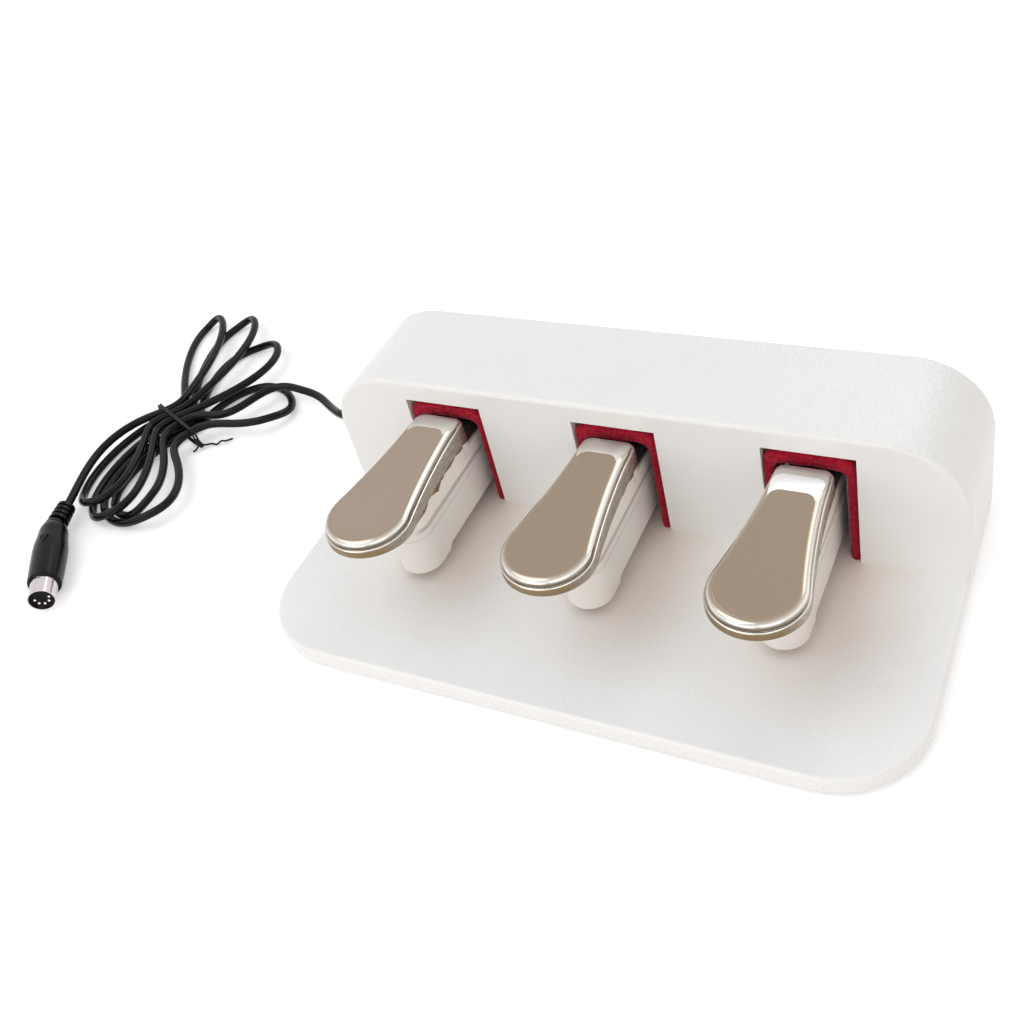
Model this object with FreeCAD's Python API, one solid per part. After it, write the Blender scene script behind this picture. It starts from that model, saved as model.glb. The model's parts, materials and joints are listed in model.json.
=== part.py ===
# Triple pedal unit: board, housing, three sprung pedals, and a cord with a round plug.
# Millimetres. X runs right, Y runs to the rear, Z up. The floor is Z = 0 and the origin is
# the centre of the footprint.
import FreeCAD, Part
import math
import os

V = FreeCAD.Vector

# Board and feet
WIDTH = 286.0
DEPTH = 160.0
FRONT_R = 37.0
REAR_R = 3.0
BOARD_T = 8.5
BOARD_EDGE = 1.5
FOOT_T = 1.5
FOOT_R = 7.0
B = FOOT_T + BOARD_T
REAR = DEPTH / 2
END = WIDTH / 2
FOOT_SPOTS = [(-END + 25, -REAR + 28), (END - 25, -REAR + 28), (-END + 25, REAR - 20), (END - 25, REAR - 20),
              (0, -REAR + 20), (0, REAR - 20)]

# Housing: it stands flush with the board's rear edge and carries the whole mechanism
HOUSE_DEPTH = 56.0
HOUSE_FRONT = REAR - HOUSE_DEPTH
HOUSE_H = 65.5
HOUSE_R = 32.0
WALL = 3.0
FRONT_EDGE = 2.0
REAR_EDGE = 2.8
BOSS_R = 4.0
END_SPAN = 61.0
PITCH = END - END_SPAN
BOSS_SPOTS = [(-END + 9, HOUSE_FRONT + 10), (END - 9, HOUSE_FRONT + 10), (-END + 9, REAR - 10), (END - 9, REAR - 10),
              (-PITCH / 2, HOUSE_FRONT + 26), (PITCH / 2, HOUSE_FRONT + 26)]
SCREW_R = 1.45
THREAD_GAP = 0.03
SCREW_LEN = 16.0

# Slots and their felt
PEDALS = {"left": -PITCH, "centre": 0.0, "right": PITCH}
SLOT_HALF = 18.8
SLOT_H = 56.0
COLLAR_T = 2.0
COLLAR_END = HOUSE_FRONT + 10.0
FELT_T = 4.5
FELT_TOP = 9.5
FELT_BEND = 4.0
FELT_Y0 = HOUSE_FRONT + 0.8
FELT_Y1 = COLLAR_END - 0.2

# Pedal cap
HEAD_R = 19.0
HEAD_Y = HOUSE_FRONT - 68.0
NECK_HALF = 11.6
FLARE_R = 160.0
CAP_REAR = HOUSE_FRONT - 5.0
CAP_REAR_R = 3.5
RIM_TOP = B + 52.0
PLATEAU_TOP = B + 54.2
STEP_IN = 1.2
REAR_BAND = 6.4
STEP_ROUND = 1.9
SHEET = 1.4
EDGE_TIP = B + 46.8
EDGE_REAR = B + 40.9

# Moulded lever under the cap
LEVER_HALF = 9.7
LEVER_LOW_HALF = 10.2
MOULD_LINE = B + 23.0
LEVER_FRONT = HEAD_Y + 13.0
TOE_BOTTOM = B + 4.0
TOE_END = LEVER_FRONT + 17.0
LEVER_BOTTOM = B + 6.4
HEEL_BOTTOM = B + 14.0
ARM_TOP = B + 43.0
SADDLE = EDGE_REAR - 1.9
TONGUE_LOW = B + 47.0
TONGUE_TOP = B + 50.0
TONGUE_IN = 1.7
LEVER_WALL = 2.3
SPRING_SEAT_Z = B + 24.0

# Hinge
PIVOT_Y = HOUSE_FRONT + 38.0
PIVOT_Z = B + 22.0
PIN_R = 3.0
PIN_HALF = 16.0
PIN_FIT = 0.05
BOSS_ROUND = 8.0
BUSH_R = 4.5
BUSH_LEN = 8.0
BUSH_RIM_R = 6.2
BUSH_RIM_T = 1.2
PRESS_GAP = 0.02

# Bracket
STEEL = 1.5
CHEEK_IN = 11.6
CHEEK_OUT = CHEEK_IN + STEEL
FLANGE_HALF = 21.6
BR_Y0 = COLLAR_END + 1.0
BR_Y1 = PIVOT_Y + 8.0
WEB_Y1 = BR_Y0 + 15.0
PAD_T = 4.0
PAD_GAP = 0.3
WEB_LOW = ARM_TOP + PAD_GAP + PAD_T

# Return spring
SPRING_Y = BR_Y0 + 6.5
SPRING_R = 4.4
SPRING_WIRE = 1.6
SPRING_TURNS = 5.5
SEAT_FLOOR = B + 2.0

# Switch
SW_X0 = -CHEEK_IN
SW_X1 = -5.2
SW_Y0 = PIVOT_Y - 15.0
SW_Y1 = PIVOT_Y + 5.0
SW_Z0 = B + 1.0
SW_Z1 = B + 11.0
PLUNGER_R = 1.5
PLUNGER_Y = PIVOT_Y - 12.0
PLUNGER_GAP = 0.1
RIBBON_Y = BR_Y1 + 1.0
RIBBON_Z = B + 7.5
CORE_PITCH = 1.4
CORE_R = 0.75

# Cord
CORD_R = 2.2
GLAND_Y = PIVOT_Y - 4.0
GLAND_Z = B + 6.0
GLAND_LEN = 18.0
GLAND_TIP = -END - GLAND_LEN

# Circuit board beside the left bracket
PCB_X0 = -END + 15.0
PCB_X1 = PCB_X0 + 23.0
PCB_Y0 = GLAND_Y - 12.0
PCB_Y1 = GLAND_Y + 16.0
PCB_Z = B + 2.0
PCB_T = 1.6
HEADER_X = PCB_X1 - 1.0
INNER_END = PCB_X0 + 8.0
CLAMP_X = PCB_X0 - 5.0
CLAMP_HUMP = CORD_R + 1.0
CLAMP_HEAD_R = 2.2
CLAMP_SCREW_R = 1.1

os.makedirs("parts", exist_ok=True)


def box(x0, x1, y0, y1, z0, z1):
    return Part.makeBox(x1 - x0, y1 - y0, z1 - z0, V(x0, y0, z0))


def rod(base, axis, radius, length):
    return Part.makeCylinder(radius, length, V(*base), V(*axis))


def cone(base, axis, r0, r1, length):
    return Part.makeCone(r0, r1, length, V(*base), V(*axis))


def side_prism(points, x0, x1):
    """A solid from a side view: points are (y, z), drawn out from x0 to x1."""
    corners = [V(x0, y, z) for y, z in points]
    face = Part.Face(Part.makePolygon(corners + corners[:1]))
    return face.extrude(V(x1 - x0, 0, 0))


def fuse(shapes):
    return shapes[0].multiFuse(shapes[1:]).removeSplitter()


def round_edges(shape, radius, pick):
    """Round the edges for which pick(bounding box) is true."""
    chosen = [e for e in shape.Edges if pick(e.BoundBox)]
    return shape.makeFillet(radius, chosen)


def moved(shape, x, y=0.0, z=0.0):
    copy = shape.copy()
    copy.translate(V(x, y, z))
    return copy


def save(name, shapes):
    parts = shapes if isinstance(shapes, list) else [shapes]
    solids = [s for shape in parts for s in shape.Solids]
    for solid in solids:
        if not solid.isValid():
            print("not valid:", name)
    body = solids[0] if len(solids) == 1 else Part.makeCompound(solids)
    body.exportStep("parts/" + name + ".step")
    bb = body.BoundBox
    print("%-22s %2d solid  %9.1f mm3  x %.1f %.1f  y %.1f %.1f  z %.1f %.1f" % (
        name, len(solids), body.Volume, bb.XMin, bb.XMax, bb.YMin, bb.YMax, bb.ZMin, bb.ZMax))


def near(value, target, slack=0.02):
    return abs(value - target) < slack


def tube(wire, radius):
    first = wire.OrderedEdges[0]
    start = wire.OrderedVertexes[0].Point
    way = first.tangentAt(first.FirstParameter)
    if (first.valueAt(first.FirstParameter) - start).Length > 0.001:
        way = first.tangentAt(first.LastParameter) * -1
    ring = Part.Wire(Part.makeCircle(radius, start, way))
    return wire.makePipeShell([ring], True, False)


def biarc(p0, t0, p1, t1):
    """Two arcs that leave p0 along t0 and reach p1 along t1."""
    v = p1 - p0
    t = t0 + t1
    k = 2 * (1 - t0.dot(t1))
    if k < 1e-7:
        d = v.dot(v) / (4 * v.dot(t1))
    else:
        d = (math.sqrt(v.dot(t) ** 2 + k * v.dot(v)) - v.dot(t)) / k
    q0 = p0 + t0 * d
    q1 = p1 - t1 * d
    joint = (q0 + q1) * 0.5
    return [one_arc(p0, q0, joint), one_arc(joint, q1, p1)]


def one_arc(a, q, b):
    middle = (a + b) * 0.5
    c = (a - middle).Length / (a - q).Length
    bow = middle + (q - middle) * (c / (1 + c))
    if (q - middle).Length < 0.002:
        return Part.makeLine(a, b)
    return Part.Arc(a, bow, b).toShape()


# Board, with countersunk holes for the housing screws and blind holes for the brackets
def board_outline(z):
    x = WIDTH / 2
    y = DEPTH / 2
    c = math.sqrt(0.5)
    f = FRONT_R
    r = REAR_R
    edges = [
        Part.makeLine(V(-x + f, -y, z), V(x - f, -y, z)),
        Part.Arc(V(x - f, -y, z), V(x - f + f * c, -y + f - f * c, z), V(x, -y + f, z)).toShape(),
        Part.makeLine(V(x, -y + f, z), V(x, y - r, z)),
        Part.Arc(V(x, y - r, z), V(x - r + r * c, y - r + r * c, z), V(x - r, y, z)).toShape(),
        Part.makeLine(V(x - r, y, z), V(-x + r, y, z)),
        Part.Arc(V(-x + r, y, z), V(-x + r - r * c, y - r + r * c, z), V(-x, y - r, z)).toShape(),
        Part.makeLine(V(-x, y - r, z), V(-x, -y + f, z)),
        Part.Arc(V(-x, -y + f, z), V(-x + f - f * c, -y + f - f * c, z), V(-x + f, -y, z)).toShape(),
    ]
    return Part.Face(Part.Wire(edges))


FLANGE_MID = (CHEEK_OUT + FLANGE_HALF) / 2
BRACKET_SCREWS = [(sx * FLANGE_MID, y) for sx in (-1, 1) for y in (BR_Y0 + 7, BR_Y1 - 7)]
BOARD_SCREWS = [(PCB_X0 + 3.0, PCB_Y0 + 3.0), (PCB_X1 - 3.5, PCB_Y1 - 11.0)]
CLAMP_REACH = CLAMP_HUMP + CLAMP_HEAD_R + 0.15
CLAMP_SCREWS = [(CLAMP_X, GLAND_Y - CLAMP_REACH), (CLAMP_X, GLAND_Y + CLAMP_REACH)]


def blind(x, y, depth, radius=SCREW_R):
    return rod((x, y, B - depth), (0, 0, 1), radius + THREAD_GAP, depth)


board = board_outline(FOOT_T).extrude(V(0, 0, BOARD_T))
board = round_edges(board, BOARD_EDGE, lambda b: b.ZLength < 0.01)
tools = []
for x, y in BOSS_SPOTS:
    tools.append(rod((x, y, FOOT_T), (0, 0, 1), SCREW_R + 0.25, BOARD_T))
    tools.append(cone((x, y, FOOT_T), (0, 0, 1), 3.3, SCREW_R + 0.25, 2.0))
for px in PEDALS.values():
    tools += [blind(px + x, y, 5.5) for x, y in BRACKET_SCREWS]
tools += [blind(x, y, 5.0) for x, y in BOARD_SCREWS]
tools += [blind(x, y, 5.0, CLAMP_SCREW_R) for x, y in CLAMP_SCREWS]
board = board.cut(tools)
save("base_board", board)

feet = []
for x, y in FOOT_SPOTS:
    foot = rod((x, y, 0), (0, 0, 1), FOOT_R, FOOT_T)
    feet.append(foot.makeChamfer(0.4, [e for e in foot.Edges if near(e.BoundBox.ZMax, 0)]))
save("rubber_feet", feet)


# Housing: one moulding, open below, with three collared slots and six screw bosses
def housing_block(inset):
    """The housing's outside drawn inwards by inset, open-ended below."""
    x = WIDTH / 2 - inset
    top = B + HOUSE_H - inset
    r = HOUSE_R - inset
    c = math.sqrt(0.5)
    y = HOUSE_FRONT + inset
    edges = [
        Part.makeLine(V(-x, y, B), V(x, y, B)),
        Part.makeLine(V(x, y, B), V(x, y, top - r)),
        Part.Arc(V(x, y, top - r), V(x - r + r * c, y, top - r + r * c), V(x - r, y, top)).toShape(),
        Part.makeLine(V(x - r, y, top), V(-x + r, y, top)),
        Part.Arc(V(-x + r, y, top), V(-x + r - r * c, y, top - r + r * c), V(-x, y, top - r)).toShape(),
        Part.makeLine(V(-x, y, top - r), V(-x, y, B)),
    ]
    return Part.Face(Part.Wire(edges)).extrude(V(0, REAR - inset - y, 0))


outside = housing_block(0.0)
outside = round_edges(outside, FRONT_EDGE, lambda b: near(b.YMax, HOUSE_FRONT) and b.ZMax > B + 0.01)
outside = round_edges(outside, REAR_EDGE, lambda b: near(b.YMin, REAR) and b.ZMax > B + 0.01)
adds = []
for x, y in BOSS_SPOTS:
    adds.append(rod((x, y, B), (0, 0, 1), BOSS_R, HOUSE_H).common(outside))
for px in PEDALS.values():
    collar_top = B + SLOT_H + COLLAR_T
    half = SLOT_HALF + COLLAR_T
    adds.append(box(px - half, px + half, HOUSE_FRONT + 1, COLLAR_END, B, collar_top))
housing = fuse([outside.cut(housing_block(WALL))] + adds)
cuts = []
for px in PEDALS.values():
    cuts.append(box(px - SLOT_HALF, px + SLOT_HALF, HOUSE_FRONT - 1, COLLAR_END + 1, B - 1, B + SLOT_H))
for x, y in BOSS_SPOTS:
    cuts.append(rod((x, y, B), (0, 0, 1), SCREW_R + THREAD_GAP, 10.0))
cuts.append(rod((-WIDTH / 2 - 1, GLAND_Y, GLAND_Z), (1, 0, 0), 4.0 + THREAD_GAP, WALL + 2))
housing = housing.cut(cuts)
save("housing_shell", housing)

screws = []
for x, y in BOSS_SPOTS:
    head = cone((x, y, FOOT_T + 0.05), (0, 0, 1), 2.95, SCREW_R, 1.6)
    drive = box(x - 1.6, x + 1.6, y - 0.35, y + 0.35, FOOT_T, FOOT_T + 0.8)
    cross = box(x - 0.35, x + 0.35, y - 1.6, y + 1.6, FOOT_T, FOOT_T + 0.8)
    shank = rod((x, y, FOOT_T + 0.05), (0, 0, 1), SCREW_R, SCREW_LEN)
    screws.append(head.fuse(shank).cut([drive, cross]).removeSplitter())
save("housing_screws", screws)


# Felt bent over each slot, thicker where it hangs over the lever
def felt_ring(half, top, r):
    c = math.sqrt(0.5)
    y = FELT_Y0
    edges = [
        Part.makeLine(V(-half, y, B), V(half, y, B)),
        Part.makeLine(V(half, y, B), V(half, y, top - r)),
        Part.Arc(V(half, y, top - r), V(half - r + r * c, y, top - r + r * c), V(half - r, y, top)).toShape(),
        Part.makeLine(V(half - r, y, top), V(-half + r, y, top)),
        Part.Arc(V(-half + r, y, top), V(-half + r - r * c, y, top - r + r * c), V(-half, y, top - r)).toShape(),
        Part.makeLine(V(-half, y, top - r), V(-half, y, B)),
    ]
    return Part.Face(Part.Wire(edges)).extrude(V(0, FELT_Y1 - FELT_Y0, 0))


felt_inside = felt_ring(SLOT_HALF - FELT_T, B + SLOT_H - FELT_TOP, FELT_BEND)
felt = felt_ring(SLOT_HALF, B + SLOT_H, 5.0).cut(felt_inside)
for side, px in PEDALS.items():
    save("felt_liner_" + side, moved(felt, px))


# Pedal cap: a pressed sheet cap with a stepped top, drawn from one plan outline
def cap_outline(inset, z, rear_band=0.0):
    """Spoon-shaped plan: round head, hollow flanks, straight neck, and a rear end set in further."""
    flare_x = NECK_HALF + FLARE_R
    reach = HEAD_R + FLARE_R
    rise = math.sqrt(reach * reach - flare_x * flare_x)
    flare_y = HEAD_Y + rise
    head = HEAD_R - inset
    flare = FLARE_R + inset
    half = NECK_HALF - inset
    rear = CAP_REAR - inset - rear_band
    r = max(CAP_REAR_R - inset, 0.4)
    c = math.sqrt(0.5)
    tangent = V(head * flare_x / reach, HEAD_Y + head * rise / reach, z)
    mid_angle = (math.pi + math.pi + math.atan2(rise, flare_x)) / 2
    flank = V(flare_x + flare * math.cos(mid_angle), flare_y + flare * math.sin(mid_angle), z)
    neck = V(half, flare_y, z)
    corner = V(half - r + r * c, rear - r + r * c, z)

    def mirror(p):
        return V(-p.x, p.y, p.z)
    edges = [
        Part.Arc(mirror(tangent), V(0, HEAD_Y - head, z), tangent).toShape(),
        Part.Arc(tangent, flank, neck).toShape(),
        Part.makeLine(neck, V(half, rear - r, z)),
        Part.Arc(V(half, rear - r, z), corner, V(half - r, rear, z)).toShape(),
        Part.makeLine(V(half - r, rear, z), V(-half + r, rear, z)),
        Part.Arc(V(-half + r, rear, z), mirror(corner), V(-half, rear - r, z)).toShape(),
        Part.makeLine(V(-half, rear - r, z), mirror(neck)),
        Part.Arc(mirror(neck), mirror(flank), mirror(tangent)).toShape(),
    ]
    return Part.Face(Part.Wire(edges))


def cap_slab(inset, z0, z1, rear_band=0.0):
    return cap_outline(inset, z0, rear_band).extrude(V(0, 0, z1 - z0))


def edge_z(y):
    """Height of the cap's lower edge, which slopes down to the rear."""
    tip_y = HEAD_Y - HEAD_R
    return EDGE_TIP + (EDGE_REAR - EDGE_TIP) * (y - tip_y) / (CAP_REAR - tip_y)


SKIRT_LOW = EDGE_REAR - 11.0
ahead = HEAD_Y - 2 * HEAD_R
behind = CAP_REAR + HEAD_R
wide = 1.5 * HEAD_R
below_edge = side_prism([(ahead, edge_z(ahead)), (behind, edge_z(behind)), (behind, B), (ahead, B)], -wide, wide)
skirt = cap_slab(0.0, SKIRT_LOW, RIM_TOP).cut(below_edge)
skirt = round_edges(skirt, 0.5, lambda b: near(b.ZMin, RIM_TOP))
step = cap_slab(STEP_IN, RIM_TOP - SHEET, PLATEAU_TOP, REAR_BAND)
step = round_edges(step, STEP_ROUND, lambda b: near(b.ZMin, PLATEAU_TOP))
cap_hollow = fuse([cap_slab(SHEET, SKIRT_LOW, RIM_TOP - SHEET),
                   cap_slab(STEP_IN + SHEET, RIM_TOP - SHEET, PLATEAU_TOP - SHEET, REAR_BAND)])
cap = fuse([skirt, step]).cut(cap_hollow)
for side, px in PEDALS.items():
    save("pedal_cap_" + side, moved(cap, px))


# Lever: one moulding, hollow from below, with a bored boss at the hinge
def plan_bar(half, y0, y1, z0, z1):
    """A bar with a round front end in plan."""
    cy = y0 + half
    edges = [
        Part.Arc(V(-half, cy, z0), V(0, y0, z0), V(half, cy, z0)).toShape(),
        Part.makeLine(V(half, cy, z0), V(half, y1, z0)),
        Part.makeLine(V(half, y1, z0), V(-half, y1, z0)),
        Part.makeLine(V(-half, y1, z0), V(-half, cy, z0)),
    ]
    return Part.Face(Part.Wire(edges)).extrude(V(0, 0, z1 - z0))


BLOCK_REAR = CAP_REAR - 2.0
HEEL_Y = PIVOT_Y - 16.0
side_view = [
    (PIVOT_Y, PIVOT_Z + BOSS_ROUND), (PIVOT_Y - 18.0, ARM_TOP), (CAP_REAR + 3.0, ARM_TOP),
    (CAP_REAR + 1.5, SADDLE), (BLOCK_REAR, SADDLE), (BLOCK_REAR, TONGUE_TOP),
    (LEVER_FRONT - 1, TONGUE_TOP), (LEVER_FRONT - 1, TOE_BOTTOM), (TOE_END, TOE_BOTTOM),
    (TOE_END + 2.4, LEVER_BOTTOM), (HEEL_Y - 14.0, LEVER_BOTTOM), (HEEL_Y, HEEL_BOTTOM), (PIVOT_Y, HEEL_BOTTOM),
]
corners = [V(-20, y, z) for y, z in side_view]
heel = Part.Arc(corners[-1], V(-20, PIVOT_Y + BOSS_ROUND, PIVOT_Z), corners[0]).toShape()
edges = [Part.makeLine(a, b) for a, b in zip(corners, corners[1:])]
profile = Part.Face(Part.Wire(edges + [heel])).extrude(V(40, 0, 0))
low_bar = plan_bar(LEVER_LOW_HALF, LEVER_FRONT, PIVOT_Y + 9, B, MOULD_LINE)
high_bar = plan_bar(LEVER_HALF, LEVER_FRONT + 0.2, PIVOT_Y + 10, B - 1, TONGUE_TOP + 1)
lever = fuse([
    profile.common(low_bar.fuse(high_bar)),
    rod((-LEVER_LOW_HALF, PIVOT_Y, PIVOT_Z), (1, 0, 0), BUSH_RIM_R + 0.3, 2 * LEVER_LOW_HALF),
    cap_slab(TONGUE_IN, TONGUE_LOW, TONGUE_TOP),
])
inner = LEVER_LOW_HALF - LEVER_WALL - 0.5
pocket_view = [
    (LEVER_FRONT, B), (SPRING_Y + 6.5, B), (SPRING_Y + 6.5, SPRING_SEAT_Z),
    (SPRING_Y - 6.5, SPRING_SEAT_Z), (SPRING_Y - 6.5, B + 35.0),
    (BLOCK_REAR - 1.5, B + 35.0), (BLOCK_REAR - 1.5, B + 40.0), (LEVER_FRONT, B + 40.0),
]
pocket = side_prism(pocket_view, -20, 20).common(
    plan_bar(inner, LEVER_FRONT + LEVER_WALL + 0.1, PIVOT_Y - 2.0, B, B + 45))
for rib_y in (LEVER_FRONT + 23.0, BLOCK_REAR - 3.0):
    pocket = pocket.cut(box(-12, 12, rib_y - 0.8, rib_y + 0.8, LEVER_BOTTOM + 1.5, B + 45))
notches = [
    box(sx * LEVER_HALF - 1.0, sx * LEVER_HALF + 1.0, BLOCK_REAR - 0.8, BLOCK_REAR + 0.8, B + 31.5,
        TONGUE_LOW - 1.0)
    for sx in (-1, 1)
]
bores = [rod((-15, PIVOT_Y, PIVOT_Z), (1, 0, 0), PIN_R + 0.3, 30)]
for sx in (-1, 1):
    x0 = sx * LEVER_LOW_HALF if sx < 0 else LEVER_LOW_HALF - BUSH_LEN
    bores.append(rod((x0 - (0.1 if sx < 0 else 0), PIVOT_Y, PIVOT_Z), (1, 0, 0), BUSH_R, BUSH_LEN + 0.1))
lever = lever.cut([pocket] + notches + bores)
lever = lever.fuse(rod((0, SPRING_Y, SPRING_SEAT_Z - 3.0), (0, 0, 1), 2.9, 3.5)).removeSplitter()
for side, px in PEDALS.items():
    save("pedal_block_" + side, moved(lever, px))

# Glue: a bed between lever and cap, with an uneven bead squeezed out below the cap's edge
glue = fuse([cap_slab(SHEET, TONGUE_LOW, RIM_TOP - SHEET),
             cap_slab(STEP_IN + SHEET, RIM_TOP - SHEET, PLATEAU_TOP - SHEET, REAR_BAND)])
wave = []
y = LEVER_FRONT + 4.0
while y < BLOCK_REAR - 1.9:
    drop = 1.5 + 0.55 * math.sin(0.62 * y) + 0.35 * math.sin(0.29 * y + 1.0)
    wave.append(V(0, y, edge_z(y) - drop))
    y += 2.1
curve = Part.BSplineCurve()
curve.interpolate(wave)
top = TONGUE_LOW + 0.5
rim = Part.Wire([
    curve.toShape(),
    Part.makeLine(wave[-1], V(0, wave[-1].y, top)),
    Part.makeLine(V(0, wave[-1].y, top), V(0, wave[0].y, top)),
    Part.makeLine(V(0, wave[0].y, top), wave[0]),
])
band = Part.Face(rim).extrude(V(2.4, 0, 0))
bead_room = cap_slab(0.4, SKIRT_LOW, TONGUE_LOW + 1)
beads = [moved(band, LEVER_HALF), moved(band, -LEVER_HALF - 2.4)]
glue = fuse([glue] + [b.common(bead_room) for b in beads])
lever_fill = plan_bar(LEVER_HALF, LEVER_FRONT, BLOCK_REAR + 1.0, B + 30, TONGUE_TOP)
glue = glue.cut([cap, lever, lever_fill])
glue = max(glue.Solids, key=lambda s: s.Volume)
for side, px in PEDALS.items():
    save("glue_bed_" + side, moved(glue, px))

# Bracket: bent sheet with two cheeks, a web over the lever and screwed-down flanges
cheek_view = [
    (BR_Y0, B), (BR_Y1, B), (BR_Y1, B + 27.0), (BR_Y1 - 5.0, B + 33.0), (WEB_Y1 + 4.0, B + 33.0),
    (WEB_Y1, WEB_LOW + STEEL), (BR_Y0, WEB_LOW + STEEL),
]
bend_out = 2.2
bend_in = bend_out - STEEL
shell_out = box(-CHEEK_OUT, CHEEK_OUT, BR_Y0 - 1, BR_Y1 + 1, B, WEB_LOW + STEEL)
shell_out = round_edges(
    shell_out, bend_out, lambda b: b.YLength > 30 and near(b.ZMin, WEB_LOW + STEEL) and b.XLength < 0.01)
shell_in = box(-CHEEK_IN, CHEEK_IN, BR_Y0 - 2, BR_Y1 + 2, B - 1, WEB_LOW)
shell_in = round_edges(
    shell_in, bend_in, lambda b: b.YLength > 30 and near(b.ZMin, WEB_LOW) and b.XLength < 0.01)
bracket = shell_out.cut(shell_in).common(side_prism(cheek_view, -20, 20))
flanges = []
for sx in (-1, 1):
    x0 = min(sx * CHEEK_IN, sx * FLANGE_HALF)
    x1 = max(sx * CHEEK_IN, sx * FLANGE_HALF)
    flanges.append(box(x0, x1, BR_Y0, BR_Y1, B, B + STEEL))
bracket = fuse([bracket] + flanges)
holes = [rod((-20, PIVOT_Y, PIVOT_Z), (1, 0, 0), PIN_R + PRESS_GAP, 40)]
holes += [rod((x, y, B - 1), (0, 0, 1), SCREW_R + 0.2, 4) for x, y in BRACKET_SCREWS]
SWITCH_SCREWS = [(SW_Y0 + 6.0, B + 3.5), (SW_Y1 - 4.0, B + 3.5)]
holes += [rod((-CHEEK_OUT - 1, y, z), (1, 0, 0), 1.05, 3.5) for y, z in SWITCH_SCREWS]
bracket = bracket.cut(holes)
for side, px in PEDALS.items():
    save("pivot_bracket_" + side, moved(bracket, px))


def pan_screw(x, y, z, length, radius=SCREW_R, head_r=2.7):
    """A pan-head screw driven down at a point, its head seated at height z."""
    head = rod((x, y, z), (0, 0, 1), head_r, 1.9)
    head = head.makeChamfer(0.7, [e for e in head.Edges if near(e.BoundBox.ZMin, z + 1.9)])
    shank = rod((x, y, z - length), (0, 0, 1), radius, length)
    return head.fuse(shank).removeSplitter()


save("bracket_screws", [
    pan_screw(px + x, y, B + STEEL, 6.5) for px in PEDALS.values() for x, y in BRACKET_SCREWS])

pad = round_edges(
    box(-9.0, 9.0, BR_Y0 + 1.0, BR_Y0 + 9.0, ARM_TOP + PAD_GAP, WEB_LOW), 0.6,
    lambda b: near(b.ZMax, ARM_TOP + PAD_GAP))
for side, px in PEDALS.items():
    save("rest_pad_" + side, moved(pad, px))

# Hinge pin, clips and bushes
groove_x = CHEEK_OUT + 0.05
pin = rod((-PIN_HALF, PIVOT_Y, PIVOT_Z), (1, 0, 0), PIN_R, 2 * PIN_HALF)
pin = pin.makeChamfer(0.5, pin.Edges)
clips = []
for sx in (-1, 1):
    x0 = sx * groove_x if sx > 0 else -groove_x - 0.9
    groove = rod((x0, PIVOT_Y, PIVOT_Z), (1, 0, 0), PIN_R + 1, 0.9)
    groove = groove.cut(rod((x0, PIVOT_Y, PIVOT_Z), (1, 0, 0), 2.2, 0.9))
    pin = pin.cut(groove)
    xc = x0 + 0.05
    ring = rod((xc, PIVOT_Y, PIVOT_Z), (1, 0, 0), 5.2, 0.8)
    ring = ring.cut([rod((xc - 1, PIVOT_Y, PIVOT_Z), (1, 0, 0), 2.2 + PRESS_GAP, 3),
                     box(xc - 1, xc + 2, PIVOT_Y - 1.7, PIVOT_Y + 1.7, PIVOT_Z - 8, PIVOT_Z)])
    clips.append(ring)
for side, px in PEDALS.items():
    save("pivot_pin_" + side, moved(pin, px))
save("pin_clips", [moved(c, px) for px in PEDALS.values() for c in clips])

bushes = []
for sx in (-1, 1):
    start = LEVER_LOW_HALF - BUSH_LEN
    sleeve = rod((start, PIVOT_Y, PIVOT_Z), (1, 0, 0), BUSH_R - PRESS_GAP, BUSH_LEN + 0.1)
    rim = rod((LEVER_LOW_HALF, PIVOT_Y, PIVOT_Z), (1, 0, 0), BUSH_RIM_R, BUSH_RIM_T)
    bush = sleeve.fuse(rim).cut(rod((0, PIVOT_Y, PIVOT_Z), (1, 0, 0), PIN_R + PIN_FIT, 20)).removeSplitter()
    bushes.append(bush if sx > 0 else bush.mirror(V(0, 0, 0), V(1, 0, 0)))
for side, px in PEDALS.items():
    save("pivot_bushes_" + side, [moved(b, px) for b in bushes])

# Return spring with ground ends, and the cup it stands in
height = SPRING_SEAT_Z - SEAT_FLOOR
pitch = (height + 0.4) / SPRING_TURNS
helix = Part.makeHelix(pitch, height + 0.4, SPRING_R)
slope = V(0, 1, pitch / (2 * math.pi * SPRING_R))
wire_ring = Part.Wire(Part.makeCircle(SPRING_WIRE / 2, V(SPRING_R, 0, 0), slope))
coil = Part.Wire(helix).makePipeShell([wire_ring], True, True)
coil = coil.common(rod((0, 0, 0.2), (0, 0, 1), 2 * SPRING_R, height))
coil.translate(V(0, SPRING_Y, SEAT_FLOOR - 0.2))
for side, px in PEDALS.items():
    save("return_spring_" + side, moved(coil, px))

cup = rod((0, SPRING_Y, B), (0, 0, 1), 6.5, 4.0)
cup = cup.cut(rod((0, SPRING_Y, SEAT_FLOOR), (0, 0, 1), SPRING_R + SPRING_WIRE / 2 + 0.3, 3.0))
cup = cup.fuse(rod((0, SPRING_Y, B), (0, 0, 1), 2.9, 7.0)).removeSplitter()
for side, px in PEDALS.items():
    save("spring_seat_" + side, moved(cup, px))

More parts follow.
